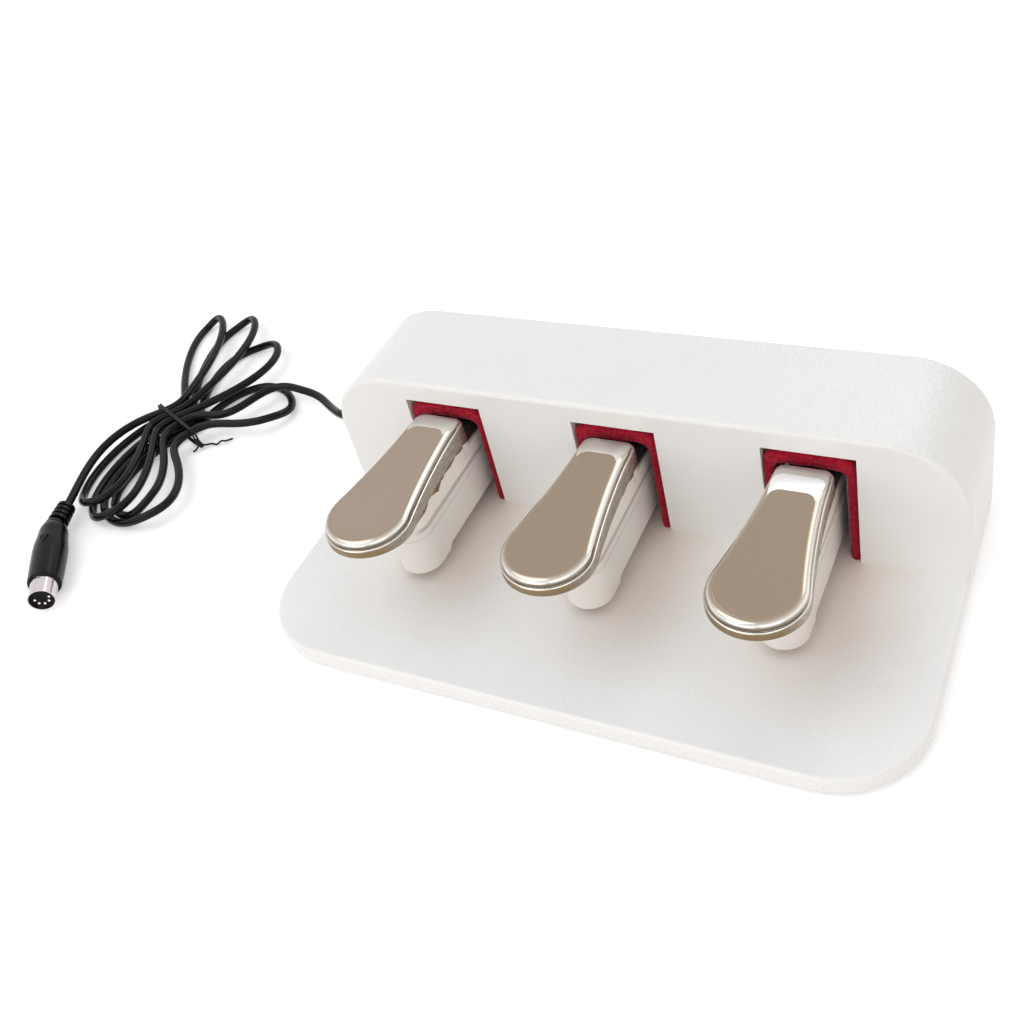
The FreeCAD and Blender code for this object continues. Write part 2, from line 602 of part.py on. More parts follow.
# Switch, its plunger, screws and the flat wiring between the switches
plunger_x = (SW_X0 + SW_X1) / 2
plunger_top = HEEL_BOTTOM - PLUNGER_GAP
switch = box(SW_X0, SW_X1, SW_Y0, SW_Y1, SW_Z0, SW_Z1)
switch = round_edges(switch, 0.5, lambda b: b.ZLength > 9)
switch = switch.cut([rod((plunger_x, PLUNGER_Y, SW_Z1 - 3.0), (0, 0, 1), PLUNGER_R + PIN_FIT, 4)]
                    + [rod((SW_X0 - 1, y, z), (1, 0, 0), 1.0, 5.0) for y, z in SWITCH_SCREWS])
lugs = [
    box(plunger_x - 1.2, plunger_x + 1.2, SW_Y1 - 1, RIBBON_Y - CORE_R, RIBBON_Z + k * CORE_PITCH - 0.25,
        RIBBON_Z + k * CORE_PITCH + 0.25) for k in (-1, 0, 1)
]
switch = fuse([switch] + lugs)
plunger = rod((plunger_x, PLUNGER_Y, SW_Z1 - 1.5), (0, 0, 1), PLUNGER_R, plunger_top - SW_Z1 + 1.5)
plunger = round_edges(plunger, 0.6, lambda b: near(b.ZMin, plunger_top))
for side, px in PEDALS.items():
    save("switch_" + side, moved(switch, px))
    save("switch_plunger_" + side, moved(plunger, px))
side_screws = []
for px in PEDALS.values():
    for y, z in SWITCH_SCREWS:
        head = rod((px - CHEEK_OUT - 1.2, y, z), (1, 0, 0), 1.8, 1.2)
        shank = rod((px - CHEEK_OUT - 0.1, y, z), (1, 0, 0), 0.97, STEEL + 3.4)
        side_screws.append(head.fuse(shank).removeSplitter())
save("switch_screws", side_screws)

cores = [rod((HEADER_X, RIBBON_Y, RIBBON_Z + k * CORE_PITCH), (1, 0, 0), CORE_R, PITCH - HEADER_X - 5.0)
         for k in (-1, 0, 1)]
save("wire_ribbon", fuse(cores))
card = box(PCB_X0, PCB_X1, PCB_Y0, PCB_Y1, PCB_Z, PCB_Z + PCB_T)
save("circuit_board", card.cut([rod((x, y, PCB_Z - 1), (0, 0, 1), SCREW_R + 0.1, 4) for x, y in BOARD_SCREWS]))
save("board_spacers", [
    rod((x, y, B), (0, 0, 1), 3.0, PCB_Z - B).cut(rod((x, y, B - 1), (0, 0, 1), SCREW_R + 0.1, 4))
    for x, y in BOARD_SCREWS])
save("board_screws", [pan_screw(x, y, PCB_Z + PCB_T, 8.0) for x, y in BOARD_SCREWS])
headers = [
    box(INNER_END, INNER_END + 5.0, GLAND_Y - 5.0, GLAND_Y + 5.0, PCB_Z + PCB_T, GLAND_Z + 3.2),
    box(HEADER_X - 6.0, HEADER_X, RIBBON_Y - 3.0, RIBBON_Y + 2.6, PCB_Z + PCB_T, RIBBON_Z + 3.5),
]
save("wire_headers", headers)

# Cord gland, the cord's inner end and its clamp
wall_x = -END
gland = fuse([
    rod((wall_x + WALL, GLAND_Y, GLAND_Z), (1, 0, 0), 5.0, 1.6),
    rod((wall_x - 2.0, GLAND_Y, GLAND_Z), (1, 0, 0), 4.0, WALL + 3.0),
    rod((wall_x - 2.0, GLAND_Y, GLAND_Z), (1, 0, 0), 5.5, 2.0),
    cone((GLAND_TIP, GLAND_Y, GLAND_Z), (1, 0, 0), 3.0, 4.2, wall_x - 2.0 - GLAND_TIP + 0.1),
])
ring_cuts = []
for k in range(3):
    gx = GLAND_TIP + 3.4 + 4.2 * k
    ring = rod((gx, GLAND_Y, GLAND_Z), (1, 0, 0), 6.0, 1.5)
    ring_cuts.append(ring.cut(rod((gx, GLAND_Y, GLAND_Z), (1, 0, 0), CORD_R + 0.35, 1.5)))
save("cord_gland", gland.cut(ring_cuts))
inner_start = wall_x + WALL + 1.6
save("cord_inner", rod((inner_start, GLAND_Y, GLAND_Z), (1, 0, 0), CORD_R, INNER_END - inner_start))
CLAMP_HALF = CLAMP_REACH + CLAMP_HEAD_R
CLAMP_FLANGE = 3.0
clamp_x0 = CLAMP_X - 3.0
clamp_x1 = CLAMP_X + 3.0
clamp = box(clamp_x0, clamp_x1, GLAND_Y - CLAMP_HALF, GLAND_Y + CLAMP_HALF, B, GLAND_Z + CORD_R + 1.2)
clamp = clamp.cut([
    rod((clamp_x0 - 1, GLAND_Y, GLAND_Z), (1, 0, 0), CORD_R + PRESS_GAP, 8),
    box(clamp_x0 - 1, clamp_x1 + 1, GLAND_Y - CORD_R, GLAND_Y + CORD_R, B - 1, GLAND_Z),
    box(clamp_x0 - 1, clamp_x1 + 1, GLAND_Y + CLAMP_HUMP, GLAND_Y + 12, B + CLAMP_FLANGE, B + 20),
    box(clamp_x0 - 1, clamp_x1 + 1, GLAND_Y - 12, GLAND_Y - CLAMP_HUMP, B + CLAMP_FLANGE, B + 20),
])
clamp = clamp.cut([rod((x, y, B - 1), (0, 0, 1), CLAMP_SCREW_R + 0.1, 6) for x, y in CLAMP_SCREWS])
save("cord_clamp", clamp)
save("clamp_screws", [
    pan_screw(x, y, B + CLAMP_FLANGE, 7.5, CLAMP_SCREW_R, CLAMP_HEAD_R) for x, y in CLAMP_SCREWS])


# Free cord from the gland down to the floor: straight runs joined by tangent arcs
def arc_run(points):
    """A wire through straight runs, each corner rounded to 0.45 of its shorter run."""
    edges = []
    here = points[0]
    for k in range(1, len(points) - 1):
        back = points[k - 1] - points[k]
        ahead = points[k + 1] - points[k]
        trim = 0.45 * min(back.Length, ahead.Length)
        back.normalize()
        ahead.normalize()
        half_turn = (math.pi - math.acos(back.dot(ahead))) / 2
        radius = trim / math.tan(half_turn)
        print("  corner %d: radius %.1f, turn %.0f" % (k, radius, math.degrees(2 * half_turn)))
        inward = back + ahead
        inward.normalize()
        bow = points[k] + inward * (radius / math.cos(half_turn) - radius)
        edges.append(Part.makeLine(here, points[k] + back * trim))
        edges.append(Part.Arc(points[k] + back * trim, bow, points[k] + ahead * trim).toShape())
        here = points[k] + ahead * trim
    edges.append(Part.makeLine(here, points[-1]))
    return Part.Wire(edges)


HANK_LOW = 3.65
HANK_LIFT = 5.0
HANK_HIGH = HANK_LOW + HANK_LIFT
LEAD_END = V(GLAND_TIP - 63, GLAND_Y + 24, HANK_HIGH)
LEAD = [V(GLAND_TIP, GLAND_Y, GLAND_Z), V(GLAND_TIP - 13, GLAND_Y, GLAND_Z), V(GLAND_TIP - 29, GLAND_Y + 10.5, 9.8),
        V(GLAND_TIP - 45, GLAND_Y + 21, HANK_HIGH), LEAD_END]
lead = arc_run(LEAD)
save("cord_lead", tube(lead, CORD_R))

# Tied hank: four long petals above the waist and four round loops below it. Left-hand strands
# lie in the lower layer, right-hand strands in the upper one, and the cord climbs at each tip.
WAIST = V(LEAD_END.x - 58, LEAD_END.y - 39, 0)
UPWARD = V(0.4, 0.9165, 0)
ACROSS = V(0.9165, -0.4, 0)
WAIST_HALF = 14.0
# Each row: heading in degrees, length, width, lean
PETAL = [(114, 82, 20, 0.0), (102, 83, 26, 0.0), (85, 65, 35, 0.0), (46, 45, 30, 0.0)]
BELOW = [(-83, 60, 21, 0.1), (-78, 64, 24, 0.1), (-74, 57, 33, 0.0), (-75, 52, 26, 0.1)]
LEFT_AT = [-16.2, -6.7, 1.5, 8.7]
RIGHT_AT = [-12.9, -5.7, 2.7, 25.4]
LEAD_AT = 12.4
TAIL_AT = -17.7
PETAL_CLIMB = [(0.36, 0.64), (0.36, 0.64), (0.36, 0.64), (0.56, 0.84)]
BELOW_CLIMB = [(0.42, 0.72), (0.38, 0.66), (0.32, 0.60), (0.26, 0.52)]
FLOOR_LIE = CORD_R + 0.05
HANK_STRIDE = 4
PLUG_Z = 8.6
RELIEF_START = V(WAIST.x - 15.6, WAIST.y - 74.2, PLUG_Z)
SHOULDER = V(RELIEF_START.x + 4.8, RELIEF_START.y - 14.6, PLUG_Z)


def at_waist(u, v, z=0.0):
    p = WAIST + ACROSS * u + UPWARD * v
    return V(p.x, p.y, z)


def ease(t):
    t = min(max(t, 0.0), 1.0)
    return t * t * (3 - 2 * t)


def bezier(p, s):
    r = 1 - s
    return p[0] * r ** 3 + p[1] * (3 * s * r * r) + p[2] * (3 * s * s * r) + p[3] * s ** 3


def heading(degrees):
    return V(math.cos(math.radians(degrees)), math.sin(math.radians(degrees)), 0)


def loop_controls(start, end, row):
    degrees, length, width, lean = row
    way = heading(degrees)
    side = V(way.y, -way.x, 0)
    if (end - start).dot(side) < 0:
        side = side * -1
    reach = length / 0.75
    half = width / 0.578
    return [start, start + way * (reach * (1 + lean)) - side * half,
            end + way * (reach * (1 - lean)) + side * half, end]


def dip(t):
    """How far a low strand has come down from the waist to the floor."""
    return (HANK_LOW - FLOOR_LIE) * ease(t / 0.2)


def hank_points(count):
    """Points along the hank: from the lead, down through the waist, round all loops, to the plug."""
    spans = []
    previous = at_waist(LEAD_AT, -WAIST_HALF)
    for k in (3, 2, 1, 0):
        low = at_waist(LEFT_AT[k], -WAIST_HALF)
        spans.append((loop_controls(previous, low, BELOW[k]), BELOW_CLIMB[k], False))
        start = at_waist(LEFT_AT[k], WAIST_HALF)
        end = at_waist(RIGHT_AT[k], WAIST_HALF)
        spans.append((loop_controls(start, end, PETAL[k]), PETAL_CLIMB[k], True))
        previous = at_waist(RIGHT_AT[k], -WAIST_HALF)
    top = at_waist(LEAD_AT, WAIST_HALF)
    flat_end = V(LEAD_END.x, LEAD_END.y, 0)
    approach = [flat_end, flat_end + V(-27, 4.5, 0), top + (UPWARD * 0.35 + ACROSS * 0.94) * 26, top]
    points = []
    for i in range(count):
        p = bezier(approach, i / count)
        points.append(V(p.x, p.y, HANK_HIGH))
    last = approach
    for controls, (c0, c1), rising in spans:
        way0 = (last[3] - last[2]).normalize()
        way1 = (controls[1] - controls[0]).normalize()
        gap = 0.36 * (controls[0] - last[3]).Length
        link = [last[3], last[3] + way0 * gap, controls[0] - way1 * gap, controls[0]]
        level = HANK_LOW if rising else HANK_HIGH
        for i in range(count // 3):
            p = bezier(link, i * 3.0 / count)
            points.append(V(p.x, p.y, level))
        for i in range(count):
            t = i / count
            p = bezier(controls, t)
            climb = ease((t - c0) / (c1 - c0))
            if rising:
                z = (HANK_LOW - dip(t)) * (1 - climb) + HANK_HIGH * climb
            else:
                z = HANK_HIGH * (1 - climb) + (HANK_LOW - dip(1 - t)) * climb
            points.append(V(p.x, p.y, z))
        last = controls
    end = at_waist(TAIL_AT, -WAIST_HALF)
    way0 = (last[3] - last[2]).normalize()
    way1 = heading(238)
    gap = 0.36 * (end - last[3]).Length
    link = [last[3], last[3] + way0 * gap, end - way1 * gap, end]
    for i in range(count // 3):
        p = bezier(link, i * 3.0 / count)
        points.append(V(p.x, p.y, HANK_HIGH))
    into = (SHOULDER - RELIEF_START).normalize()
    final = V(RELIEF_START.x, RELIEF_START.y, 0)
    tail = [end, end + way1 * 28, final - into * 22, final]
    for i in range(count + 1):
        p = bezier(tail, i / count)
        points.append(V(p.x, p.y, HANK_HIGH + (PLUG_Z - HANK_HIGH) * i / count))
    return points


def arc_path(points, stride):
    """A smooth wire of arcs through every stride-th point."""
    keep = list(range(0, len(points) - 1, stride))
    if len(points) - 1 - keep[-1] < stride * 0.6:
        keep.pop()
    keep.append(len(points) - 1)
    ways = []
    for i in keep:
        a = points[max(i - 1, 0)]
        b = points[min(i + 1, len(points) - 1)]
        ways.append((b - a).normalize())
    edges = []
    for k in range(len(keep) - 1):
        edges += biarc(points[keep[k]], ways[k], points[keep[k + 1]], ways[k + 1])
    return edges


def least_gap(edges, diameter, near_along):
    """Smallest clear gap of a tube to itself, measured on points along its centre line."""
    samples = []
    along = 0.0
    for e in edges:
        n = max(int(e.Length / 1.0), 2)
        for i in range(n):
            p = e.valueAt(e.FirstParameter + (e.LastParameter - e.FirstParameter) * i / n)
            samples.append((along + e.Length * i / n, p.x, p.y, p.z))
        along += e.Length
    best = 1e9
    where = None
    for i, a in enumerate(samples):
        for b in samples[i + 1:]:
            if b[0] - a[0] < near_along:
                continue
            d = (a[1] - b[1]) ** 2 + (a[2] - b[2]) ** 2 + (a[3] - b[3]) ** 2
            if d < best:
                best = d
                where = a
    return math.sqrt(best) - diameter, where, along


hank_edges = arc_path(hank_points(24), HANK_STRIDE)
gap, where, length = least_gap(hank_edges, 2 * CORD_R, 16.0)
tightest = min(e.Curve.Radius for e in hank_edges if hasattr(e.Curve, "Radius"))
print("  hank: least gap %.2f at x %.0f y %.0f, length %.0f, tightest radius %.1f, arcs %d" % (
    gap, where[1], where[2], length, tightest, len(hank_edges)))
print("  free lead: length %.0f" % lead.Length)
hank = tube(Part.Wire(hank_edges), CORD_R)
save("cord_hank", hank)

# Twist tie round the waist: a thin wire ring, a twisted knot and a loose end
TIE_R = 0.55
strands = []
for p in hank_points(24):
    offset = V(p.x, p.y, 0) - WAIST
    if abs(offset.dot(UPWARD)) < 3.0:
        strands.append(offset.dot(ACROSS))
side_room = CORD_R * 1.3 + TIE_R + 0.3
u0 = min(strands) - side_room
u1 = max(strands) + side_room
z0 = TIE_R + 0.05
z1 = HANK_HIGH + CORD_R + TIE_R + 0.35
r = 3.0
c = math.sqrt(0.5)
ring_edges = [
    Part.makeLine(at_waist(u0 + r, 0, z0), at_waist(u1 - r, 0, z0)),
    Part.Arc(at_waist(u1 - r, 0, z0), at_waist(u1 - r + r * c, 0, z0 + r - r * c), at_waist(u1, 0, z0 + r)).toShape(),
    Part.makeLine(at_waist(u1, 0, z0 + r), at_waist(u1, 0, z1 - r)),
    Part.Arc(at_waist(u1, 0, z1 - r), at_waist(u1 - r + r * c, 0, z1 - r + r * c), at_waist(u1 - r, 0, z1)).toShape(),
    Part.makeLine(at_waist(u1 - r, 0, z1), at_waist(u0 + r, 0, z1)),
    Part.Arc(at_waist(u0 + r, 0, z1), at_waist(u0 + r - r * c, 0, z1 - r + r * c), at_waist(u0, 0, z1 - r)).toShape(),
    Part.makeLine(at_waist(u0, 0, z1 - r), at_waist(u0, 0, z0 + r)),
    Part.Arc(at_waist(u0, 0, z0 + r), at_waist(u0 + r - r * c, 0, z0 + r - r * c), at_waist(u0 + r, 0, z0)).toShape(),
]
tie = tube(Part.Wire(ring_edges), TIE_R)
knot = rod(tuple(at_waist(u1 - 0.3, 0, 4.6)), tuple(ACROSS - V(0, 0, 0.45)), 1.15, 5.0)
loose = [at_waist(u1 + 1.0, 0, 4.0), at_waist(u1 + 5.6, 1.0, 1.8), at_waist(u1 + 8.0, 7.0, 1.2), at_waist(u1 + 11.5, 10.0, 2.4),
         at_waist(u1 + 13.0, 15.0, 1.0)]
tie = fuse([tie, knot, tube(arc_run(loose), TIE_R)])
save("cord_tie", tie)

# Plug lying on the floor: ribbed relief, moulded grip, plated shell, insulator and five pins
RELIEF_R = (4.75, 5.5)
SHELL_R = 6.6
SHELL_T = 0.5
SHELL_OUT = 10.6
GRIP = [(0.0, 5.7), (2.0, 6.7), (8.0, 7.5), (15.0, 8.3), (23.0, 8.5), (33.0, 8.35), (40.6, 8.1)]
GRIP_END = 41.8
POCKET = 2.0
INSULATOR_BACK = 6.0
PIN_RING = 3.5
TURN = math.degrees(math.atan2(-0.814, 0.581))


def place_plug(shape):
    copy = shape.copy()
    copy.Placement = FreeCAD.Placement(SHOULDER, FreeCAD.Rotation(V(0, 0, 1), TURN)).multiply(copy.Placement)
    return copy


side = Part.BSplineCurve()
side.interpolate([V(s, r, 0) for s, r in GRIP])
last = V(GRIP[-1][0], GRIP[-1][1], 0)
grip_wire = Part.Wire([
    side.toShape(),
    Part.Arc(last, V(GRIP_END - 0.35, last.y - 0.25, 0), V(GRIP_END, last.y - 1.0, 0)).toShape(),
    Part.makeLine(V(GRIP_END, last.y - 1.0, 0), V(GRIP_END, 0, 0)),
    Part.makeLine(V(GRIP_END, 0, 0), V(0, 0, 0)),
    Part.makeLine(V(0, 0, 0), V(GRIP[0][0], GRIP[0][1], 0)),
])
grip = Part.Face(grip_wire).revolve(V(0, 0, 0), V(1, 0, 0), 360)
ball = Part.makeSphere(GRIP[0][1])
mark = Part.Face(Part.makePolygon([V(14, -2.4, 0), V(14, 2.4, 0), V(20, 0, 0), V(14, -2.4, 0)]))
mark = mark.extrude(V(0, 0, 8.85))
grip = fuse([grip, ball, mark])
shell_start = GRIP_END - POCKET
grip = grip.cut(rod((shell_start, 0, 0), (1, 0, 0), SHELL_R + PRESS_GAP, 5))
grip_placed = place_plug(grip)
save("plug_body", grip_placed)

relief_way = SHOULDER - RELIEF_START
relief = Part.makeCone(RELIEF_R[0], RELIEF_R[1], relief_way.Length, RELIEF_START, relief_way)
grooves = []
relief_way.normalize()
for k in range(4):
    base = RELIEF_START + relief_way * (1.8 + 3.0 * k)
    ring = Part.makeCylinder(7.0, 1.2, base, relief_way)
    grooves.append(ring.cut(Part.makeCylinder(RELIEF_R[0] - 1.0, 1.2, base, relief_way)))
relief = relief.cut(grooves + [grip_placed])
relief = max(relief.Solids, key=lambda s: s.Volume)
save("plug_relief", relief)

mouth = GRIP_END + SHELL_OUT
plug_shell = rod((shell_start, 0, 0), (1, 0, 0), SHELL_R, mouth - shell_start)
plug_shell = plug_shell.cut([
    rod((shell_start - 1, 0, 0), (1, 0, 0), SHELL_R - SHELL_T, 20),
    box(GRIP_END + 0.5, mouth + 1, -1.1, 1.1, SHELL_R - 0.25, SHELL_R + 1),
])
dimple = rod((GRIP_END + 5.0, 0, 0), (0, -math.sin(0.7), math.cos(0.7)), 1.3, 10)
dimple = dimple.cut(rod((0, 0, 0), (1, 0, 0), SHELL_R - 0.22, 60))
save("plug_shell", place_plug(plug_shell.cut(dimple)))
core_face = mouth - INSULATOR_BACK
save("plug_insulator", place_plug(
    rod((shell_start + 0.1, 0, 0), (1, 0, 0), SHELL_R - SHELL_T - PRESS_GAP, core_face - shell_start - 0.1)))
pins = []
for k in range(5):
    angle = math.radians(180 + 45 * k)
    base = (core_face, PIN_RING * math.cos(angle), PIN_RING * math.sin(angle))
    pin_shape = rod(base, (1, 0, 0), 0.72, INSULATOR_BACK - 1.0)
    pins.append(place_plug(round_edges(pin_shape, 0.4, lambda b: near(b.XMin, mouth - 1.0))))
save("plug_pins", pins)
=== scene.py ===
import json
import math

import bmesh
import bpy
from mathutils import Matrix, Vector, noise


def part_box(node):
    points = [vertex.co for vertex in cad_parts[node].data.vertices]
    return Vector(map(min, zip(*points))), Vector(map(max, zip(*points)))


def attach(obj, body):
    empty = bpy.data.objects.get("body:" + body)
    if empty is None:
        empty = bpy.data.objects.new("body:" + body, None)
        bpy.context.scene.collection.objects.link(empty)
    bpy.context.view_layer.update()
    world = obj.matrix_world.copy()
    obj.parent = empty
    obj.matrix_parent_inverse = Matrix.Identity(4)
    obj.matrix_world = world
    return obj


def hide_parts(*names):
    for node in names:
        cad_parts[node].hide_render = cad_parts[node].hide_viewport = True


# Metres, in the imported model's frame: X right, Y to the rear, Z up, floor at Z = 0
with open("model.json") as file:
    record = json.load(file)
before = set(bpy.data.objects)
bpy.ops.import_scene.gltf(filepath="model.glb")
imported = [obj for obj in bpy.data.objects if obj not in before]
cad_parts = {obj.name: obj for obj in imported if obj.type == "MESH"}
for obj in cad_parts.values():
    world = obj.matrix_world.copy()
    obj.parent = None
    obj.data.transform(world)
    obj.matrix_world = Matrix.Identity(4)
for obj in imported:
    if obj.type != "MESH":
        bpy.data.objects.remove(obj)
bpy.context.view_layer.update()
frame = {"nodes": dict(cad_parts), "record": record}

# Shared sizes in mm: B is the board's top, and the caps' lower edges fall from EDGE_TIP towards the rear
# The levers' side groove lies at GROOVE_Z, and PEBBLE is one cell of the housing's grain
MM = 0.001
B = 10.0
SIDES = {"left": -82.0, "centre": 0.0, "right": 82.0}
TIP_Y = -63.0
EDGE_TIP = B + 46.8
EDGE_FALL = 5.9 / 82.0
GROOVE_Z = 37.4
PEBBLE = 1.613

# Camera, found by fitting the board's corners, the slots and the pedals in the photograph
CAMERA_AT = (0.1922, -0.3172, 0.3883)
CAMERA_RIGHT = (0.8877, 0.4124, -0.2047)
CAMERA_AHEAD = (-0.4432, 0.6449, -0.6227)
camera = bpy.data.objects.new("camera", bpy.data.cameras.new("camera"))
bpy.context.scene.collection.objects.link(camera)
bpy.context.scene.camera = camera
right = Vector(CAMERA_RIGHT).normalized()
ahead = Vector(CAMERA_AHEAD).normalized()
up = right.cross(ahead).normalized()
right = ahead.cross(up).normalized()
turn = Matrix((right, up, -ahead)).transposed().to_4x4()
camera.matrix_world = Matrix.Translation(CAMERA_AT) @ turn
camera.data.sensor_width = 36.0
camera.data.lens = 42.9
camera.data.shift_x = -0.0117
camera.data.shift_y = -0.0824
camera.data.clip_start = 0.01
camera.data.clip_end = 20.0


# Materials: patterns lie in the object's own metres, so that each has its real size
def lin(text):
    """A colour written as sRGB hex, in the linear values that nodes take."""
    out = []
    for i in (0, 2, 4):
        c = int(text[i:i + 2], 16) / 255
        out.append(c / 12.92 if c <= 0.04045 else ((c + 0.055) / 1.055) ** 2.4)
    return (out[0], out[1], out[2], 1.0)


def per_metre(size_mm):
    """How often a pattern with features of this size repeats in a metre."""
    return 1000.0 / size_mm


def add(tree, kind, inputs=(), output=0, **settings):
    """A node with its settings, and its inputs as values or links by name or in order; gives one output."""
    node = tree.nodes.new("ShaderNode" + kind)
    for key, value in settings.items():
        setattr(node, key, value)
    for key, value in inputs.items() if isinstance(inputs, dict) else enumerate(inputs):
        if isinstance(value, bpy.types.NodeSocket):
            tree.links.new(value, node.inputs[key])
        else:
            node.inputs[key].default_value = value
    return node.outputs[output] if node.outputs else None


def new_material(name):
    """A material with its node tree, its shader, and the place on the object in metres."""
    m = bpy.data.materials.new(name)
    m.use_nodes = True
    tree = m.node_tree
    where = add(tree, "TexCoord", (), "Object")
    return m, tree, tree.nodes["Principled BSDF"], where


def bumped(tree, shader, heights):
    """Bumps one on the other; heights are (height value, depth in mm)."""
    normal = None
    for value, depth in heights:
        inputs = {"Height": value, "Distance": depth * MM, "Strength": 1.0}
        if normal is not None:
            inputs["Normal"] = normal
        normal = add(tree, "Bump", inputs)
    tree.links.new(normal, shader.inputs["Normal"])


def moulded(name, colour, shade, rough, grain_mm, depth, shine=0.5):
    """Moulded or coated plastic: faint mottling, and uneven gloss over the fine skin from the mould."""
    m, tree, shader, where = new_material(name)
    soft = add(tree, "TexNoise", {"Vector": where, "Scale": per_metre(14.0), "Detail": 3.0})
    skin = {"Vector": where, "Scale": per_metre(grain_mm), "Detail": 3.0, "Roughness": 0.6}
    fine = add(tree, "TexNoise", skin)
    tone = add(tree, "Mix", {0: soft, 6: lin(colour), 7: lin(shade)}, 2, data_type="RGBA")
    gloss = add(tree, "MapRange", (fine, 0.3, 0.7, rough - 0.06, rough + 0.06))
    tree.links.new(tone, shader.inputs["Base Color"])
    tree.links.new(gloss, shader.inputs["Roughness"])
    bumped(tree, shader, [(fine, depth)])
    shader.inputs["Specular IOR Level"].default_value = shine
    return m


def plated(name, colour, rough, scratch):
    """Plated, ground or drawn metal: fine wear marks, and a shine that wanders with handling."""
    m, tree, shader, where = new_material(name)
    shader.inputs["Metallic"].default_value = 1.0
    shader.inputs["Base Color"].default_value = lin(colour)
    handled = {"Vector": where, "Scale": per_metre(9.0), "Detail": 4.0, "Roughness": 0.6}
    wander = add(tree, "TexNoise", handled)
    marks = {"Vector": where, "Scale": per_metre(0.6), "Detail": 5.0, "Roughness": 0.7}
    gloss = add(tree, "MapRange", (wander, 0.35, 0.7, rough * 0.8, rough * 1.3))
    tree.links.new(gloss, shader.inputs["Roughness"])
    bumped(tree, shader, [(add(tree, "TexNoise", marks), scratch)])
    return m


# Small and inner pieces; a moulding's row is colour, shade, roughness, skin size and depth in mm
# Soft rubber and nylon look dull, vinyl and glossy black mouldings catch a narrow light
# A plated piece's row is colour, roughness and depth of its marks in mm: zinc is greyer than nickel
made = {
    "foot_rubber": moulded("foot_rubber", "151515", "1C1C1C", 0.75, 0.5, 0.03),
    "zinc_steel": plated("zinc_sheet", "B8BABD", 0.34, 0.01),
    "pin_steel": plated("ground_steel", "A9A9AA", 0.22, 0.004),
    "nylon": moulded("nylon", "E8E4D8", "DFDACB", 0.5, 1.0, 0.01),
    "spring_steel": plated("spring_wire", "8E8E90", 0.28, 0.006),
    "black_plastic": moulded("black_moulding", "0E0E0F", "161617", 0.36, 0.8, 0.02, shine=0.28),
    "button": moulded("red_button", "A8201C", "8E1A17", 0.35, 0.8, 0.006),
    "screw_steel": plated("screw_zinc", "A6A8AC", 0.30, 0.006),
    "circuit": moulded("circuit_mask", "0C5A30", "0A4A28", 0.35, 0.7, 0.008),
    "ribbon": moulded("ribbon_vinyl", "8C8C8C", "7C7C7C", 0.5, 0.8, 0.008),
    "tie_wire": moulded("tie_coating", "0B0B0B", "141414", 0.36, 0.5, 0.01, shine=0.25),
    "cord_jacket": moulded("cord_vinyl", "080808", "101010", 0.25, 0.9, 0.01, shine=0.19),
    "plug_plate": plated("plug_nickel", "D6CED2", 0.16, 0.003),
    "pin_plate": plated("pin_nickel", "E0DCDA", 0.2, 0.003),
}


# Painted warm reflected light beside the levers, in mm: from where in y it comes in and goes out again, and
# its reach sideways
REFLECTED_WARMTH_IN = (-64.0, -15.0)
REFLECTED_WARMTH_OUT = (30.0, 45.0)
REFLECTED_WARMTH_REACH = (44.0, 8.0)
REFLECTED_WARMTH_SHIFT = 10.0


def make_board():
    """Board: sprayed white paint, semi-gloss and finely pebbled, with painted warm reflected light round the
    levers.

    A spray's pebbles are finer than the render shows, so they are drawn at 0.9 mm.
    """
    m, tree, shader, where = new_material("board_paint")
    soft = add(tree, "TexNoise", {"Vector": where, "Scale": per_metre(14.0), "Detail": 3.0})
    spray = {"Vector": where, "Scale": per_metre(0.9), "Detail": 3.0, "Roughness": 0.6}
    fine = add(tree, "TexNoise", spray)
    tone = add(tree, "Mix", {0: soft, 6: lin("F8F8F7"), 7: lin("F4F4F3")}, 2, data_type="RGBA")
    x_place = add(tree, "SeparateXYZ", (where,), "X")
    y_place = add(tree, "SeparateXYZ", (where,), "Y")
    clouds = add(tree, "TexNoise", {"Vector": where, "Scale": per_metre(30.0), "Detail": 3.0})
    wander = add(tree, "MapRange", (clouds, 0.3, 0.7, 0.75, 1.25))
    from_front = add(tree, "MapRange", (y_place, REFLECTED_WARMTH_IN[0] * MM, REFLECTED_WARMTH_IN[1] * MM, 0.0, 1.0))
    to_housing = add(tree, "MapRange", (y_place, REFLECTED_WARMTH_OUT[0] * MM, REFLECTED_WARMTH_OUT[1] * MM, 1.0, 0.0))
    back = add(tree, "Math", (from_front, to_housing), operation="MULTIPLY")
    # Painted warm light reflected from the caps, beside each lever
    for x in SIDES.values():
        sideways = add(tree, "Math", (x_place, (x + REFLECTED_WARMTH_SHIFT) * MM), operation="SUBTRACT")
        off = add(tree, "Math", (sideways,), operation="ABSOLUTE")
        beside = add(tree, "MapRange", (off, REFLECTED_WARMTH_REACH[0] * MM, REFLECTED_WARMTH_REACH[1] * MM, 0.0, 0.85))
        near = add(tree, "Math", (beside, back), operation="MULTIPLY")
        near = add(tree, "Math", (near, wander), operation="MULTIPLY", use_clamp=True)
        tone = add(tree, "Mix", {0: near, 6: tone, 7: lin("F8ECE2")}, 2, data_type="RGBA")
    tree.links.new(tone, shader.inputs["Base Color"])
    tree.links.new(add(tree, "MapRange", (fine, 0.3, 0.7, 0.22, 0.32)), shader.inputs["Roughness"])
    bumped(tree, shader, [(fine, 0.018)])
    return m


made["board"] = make_board()


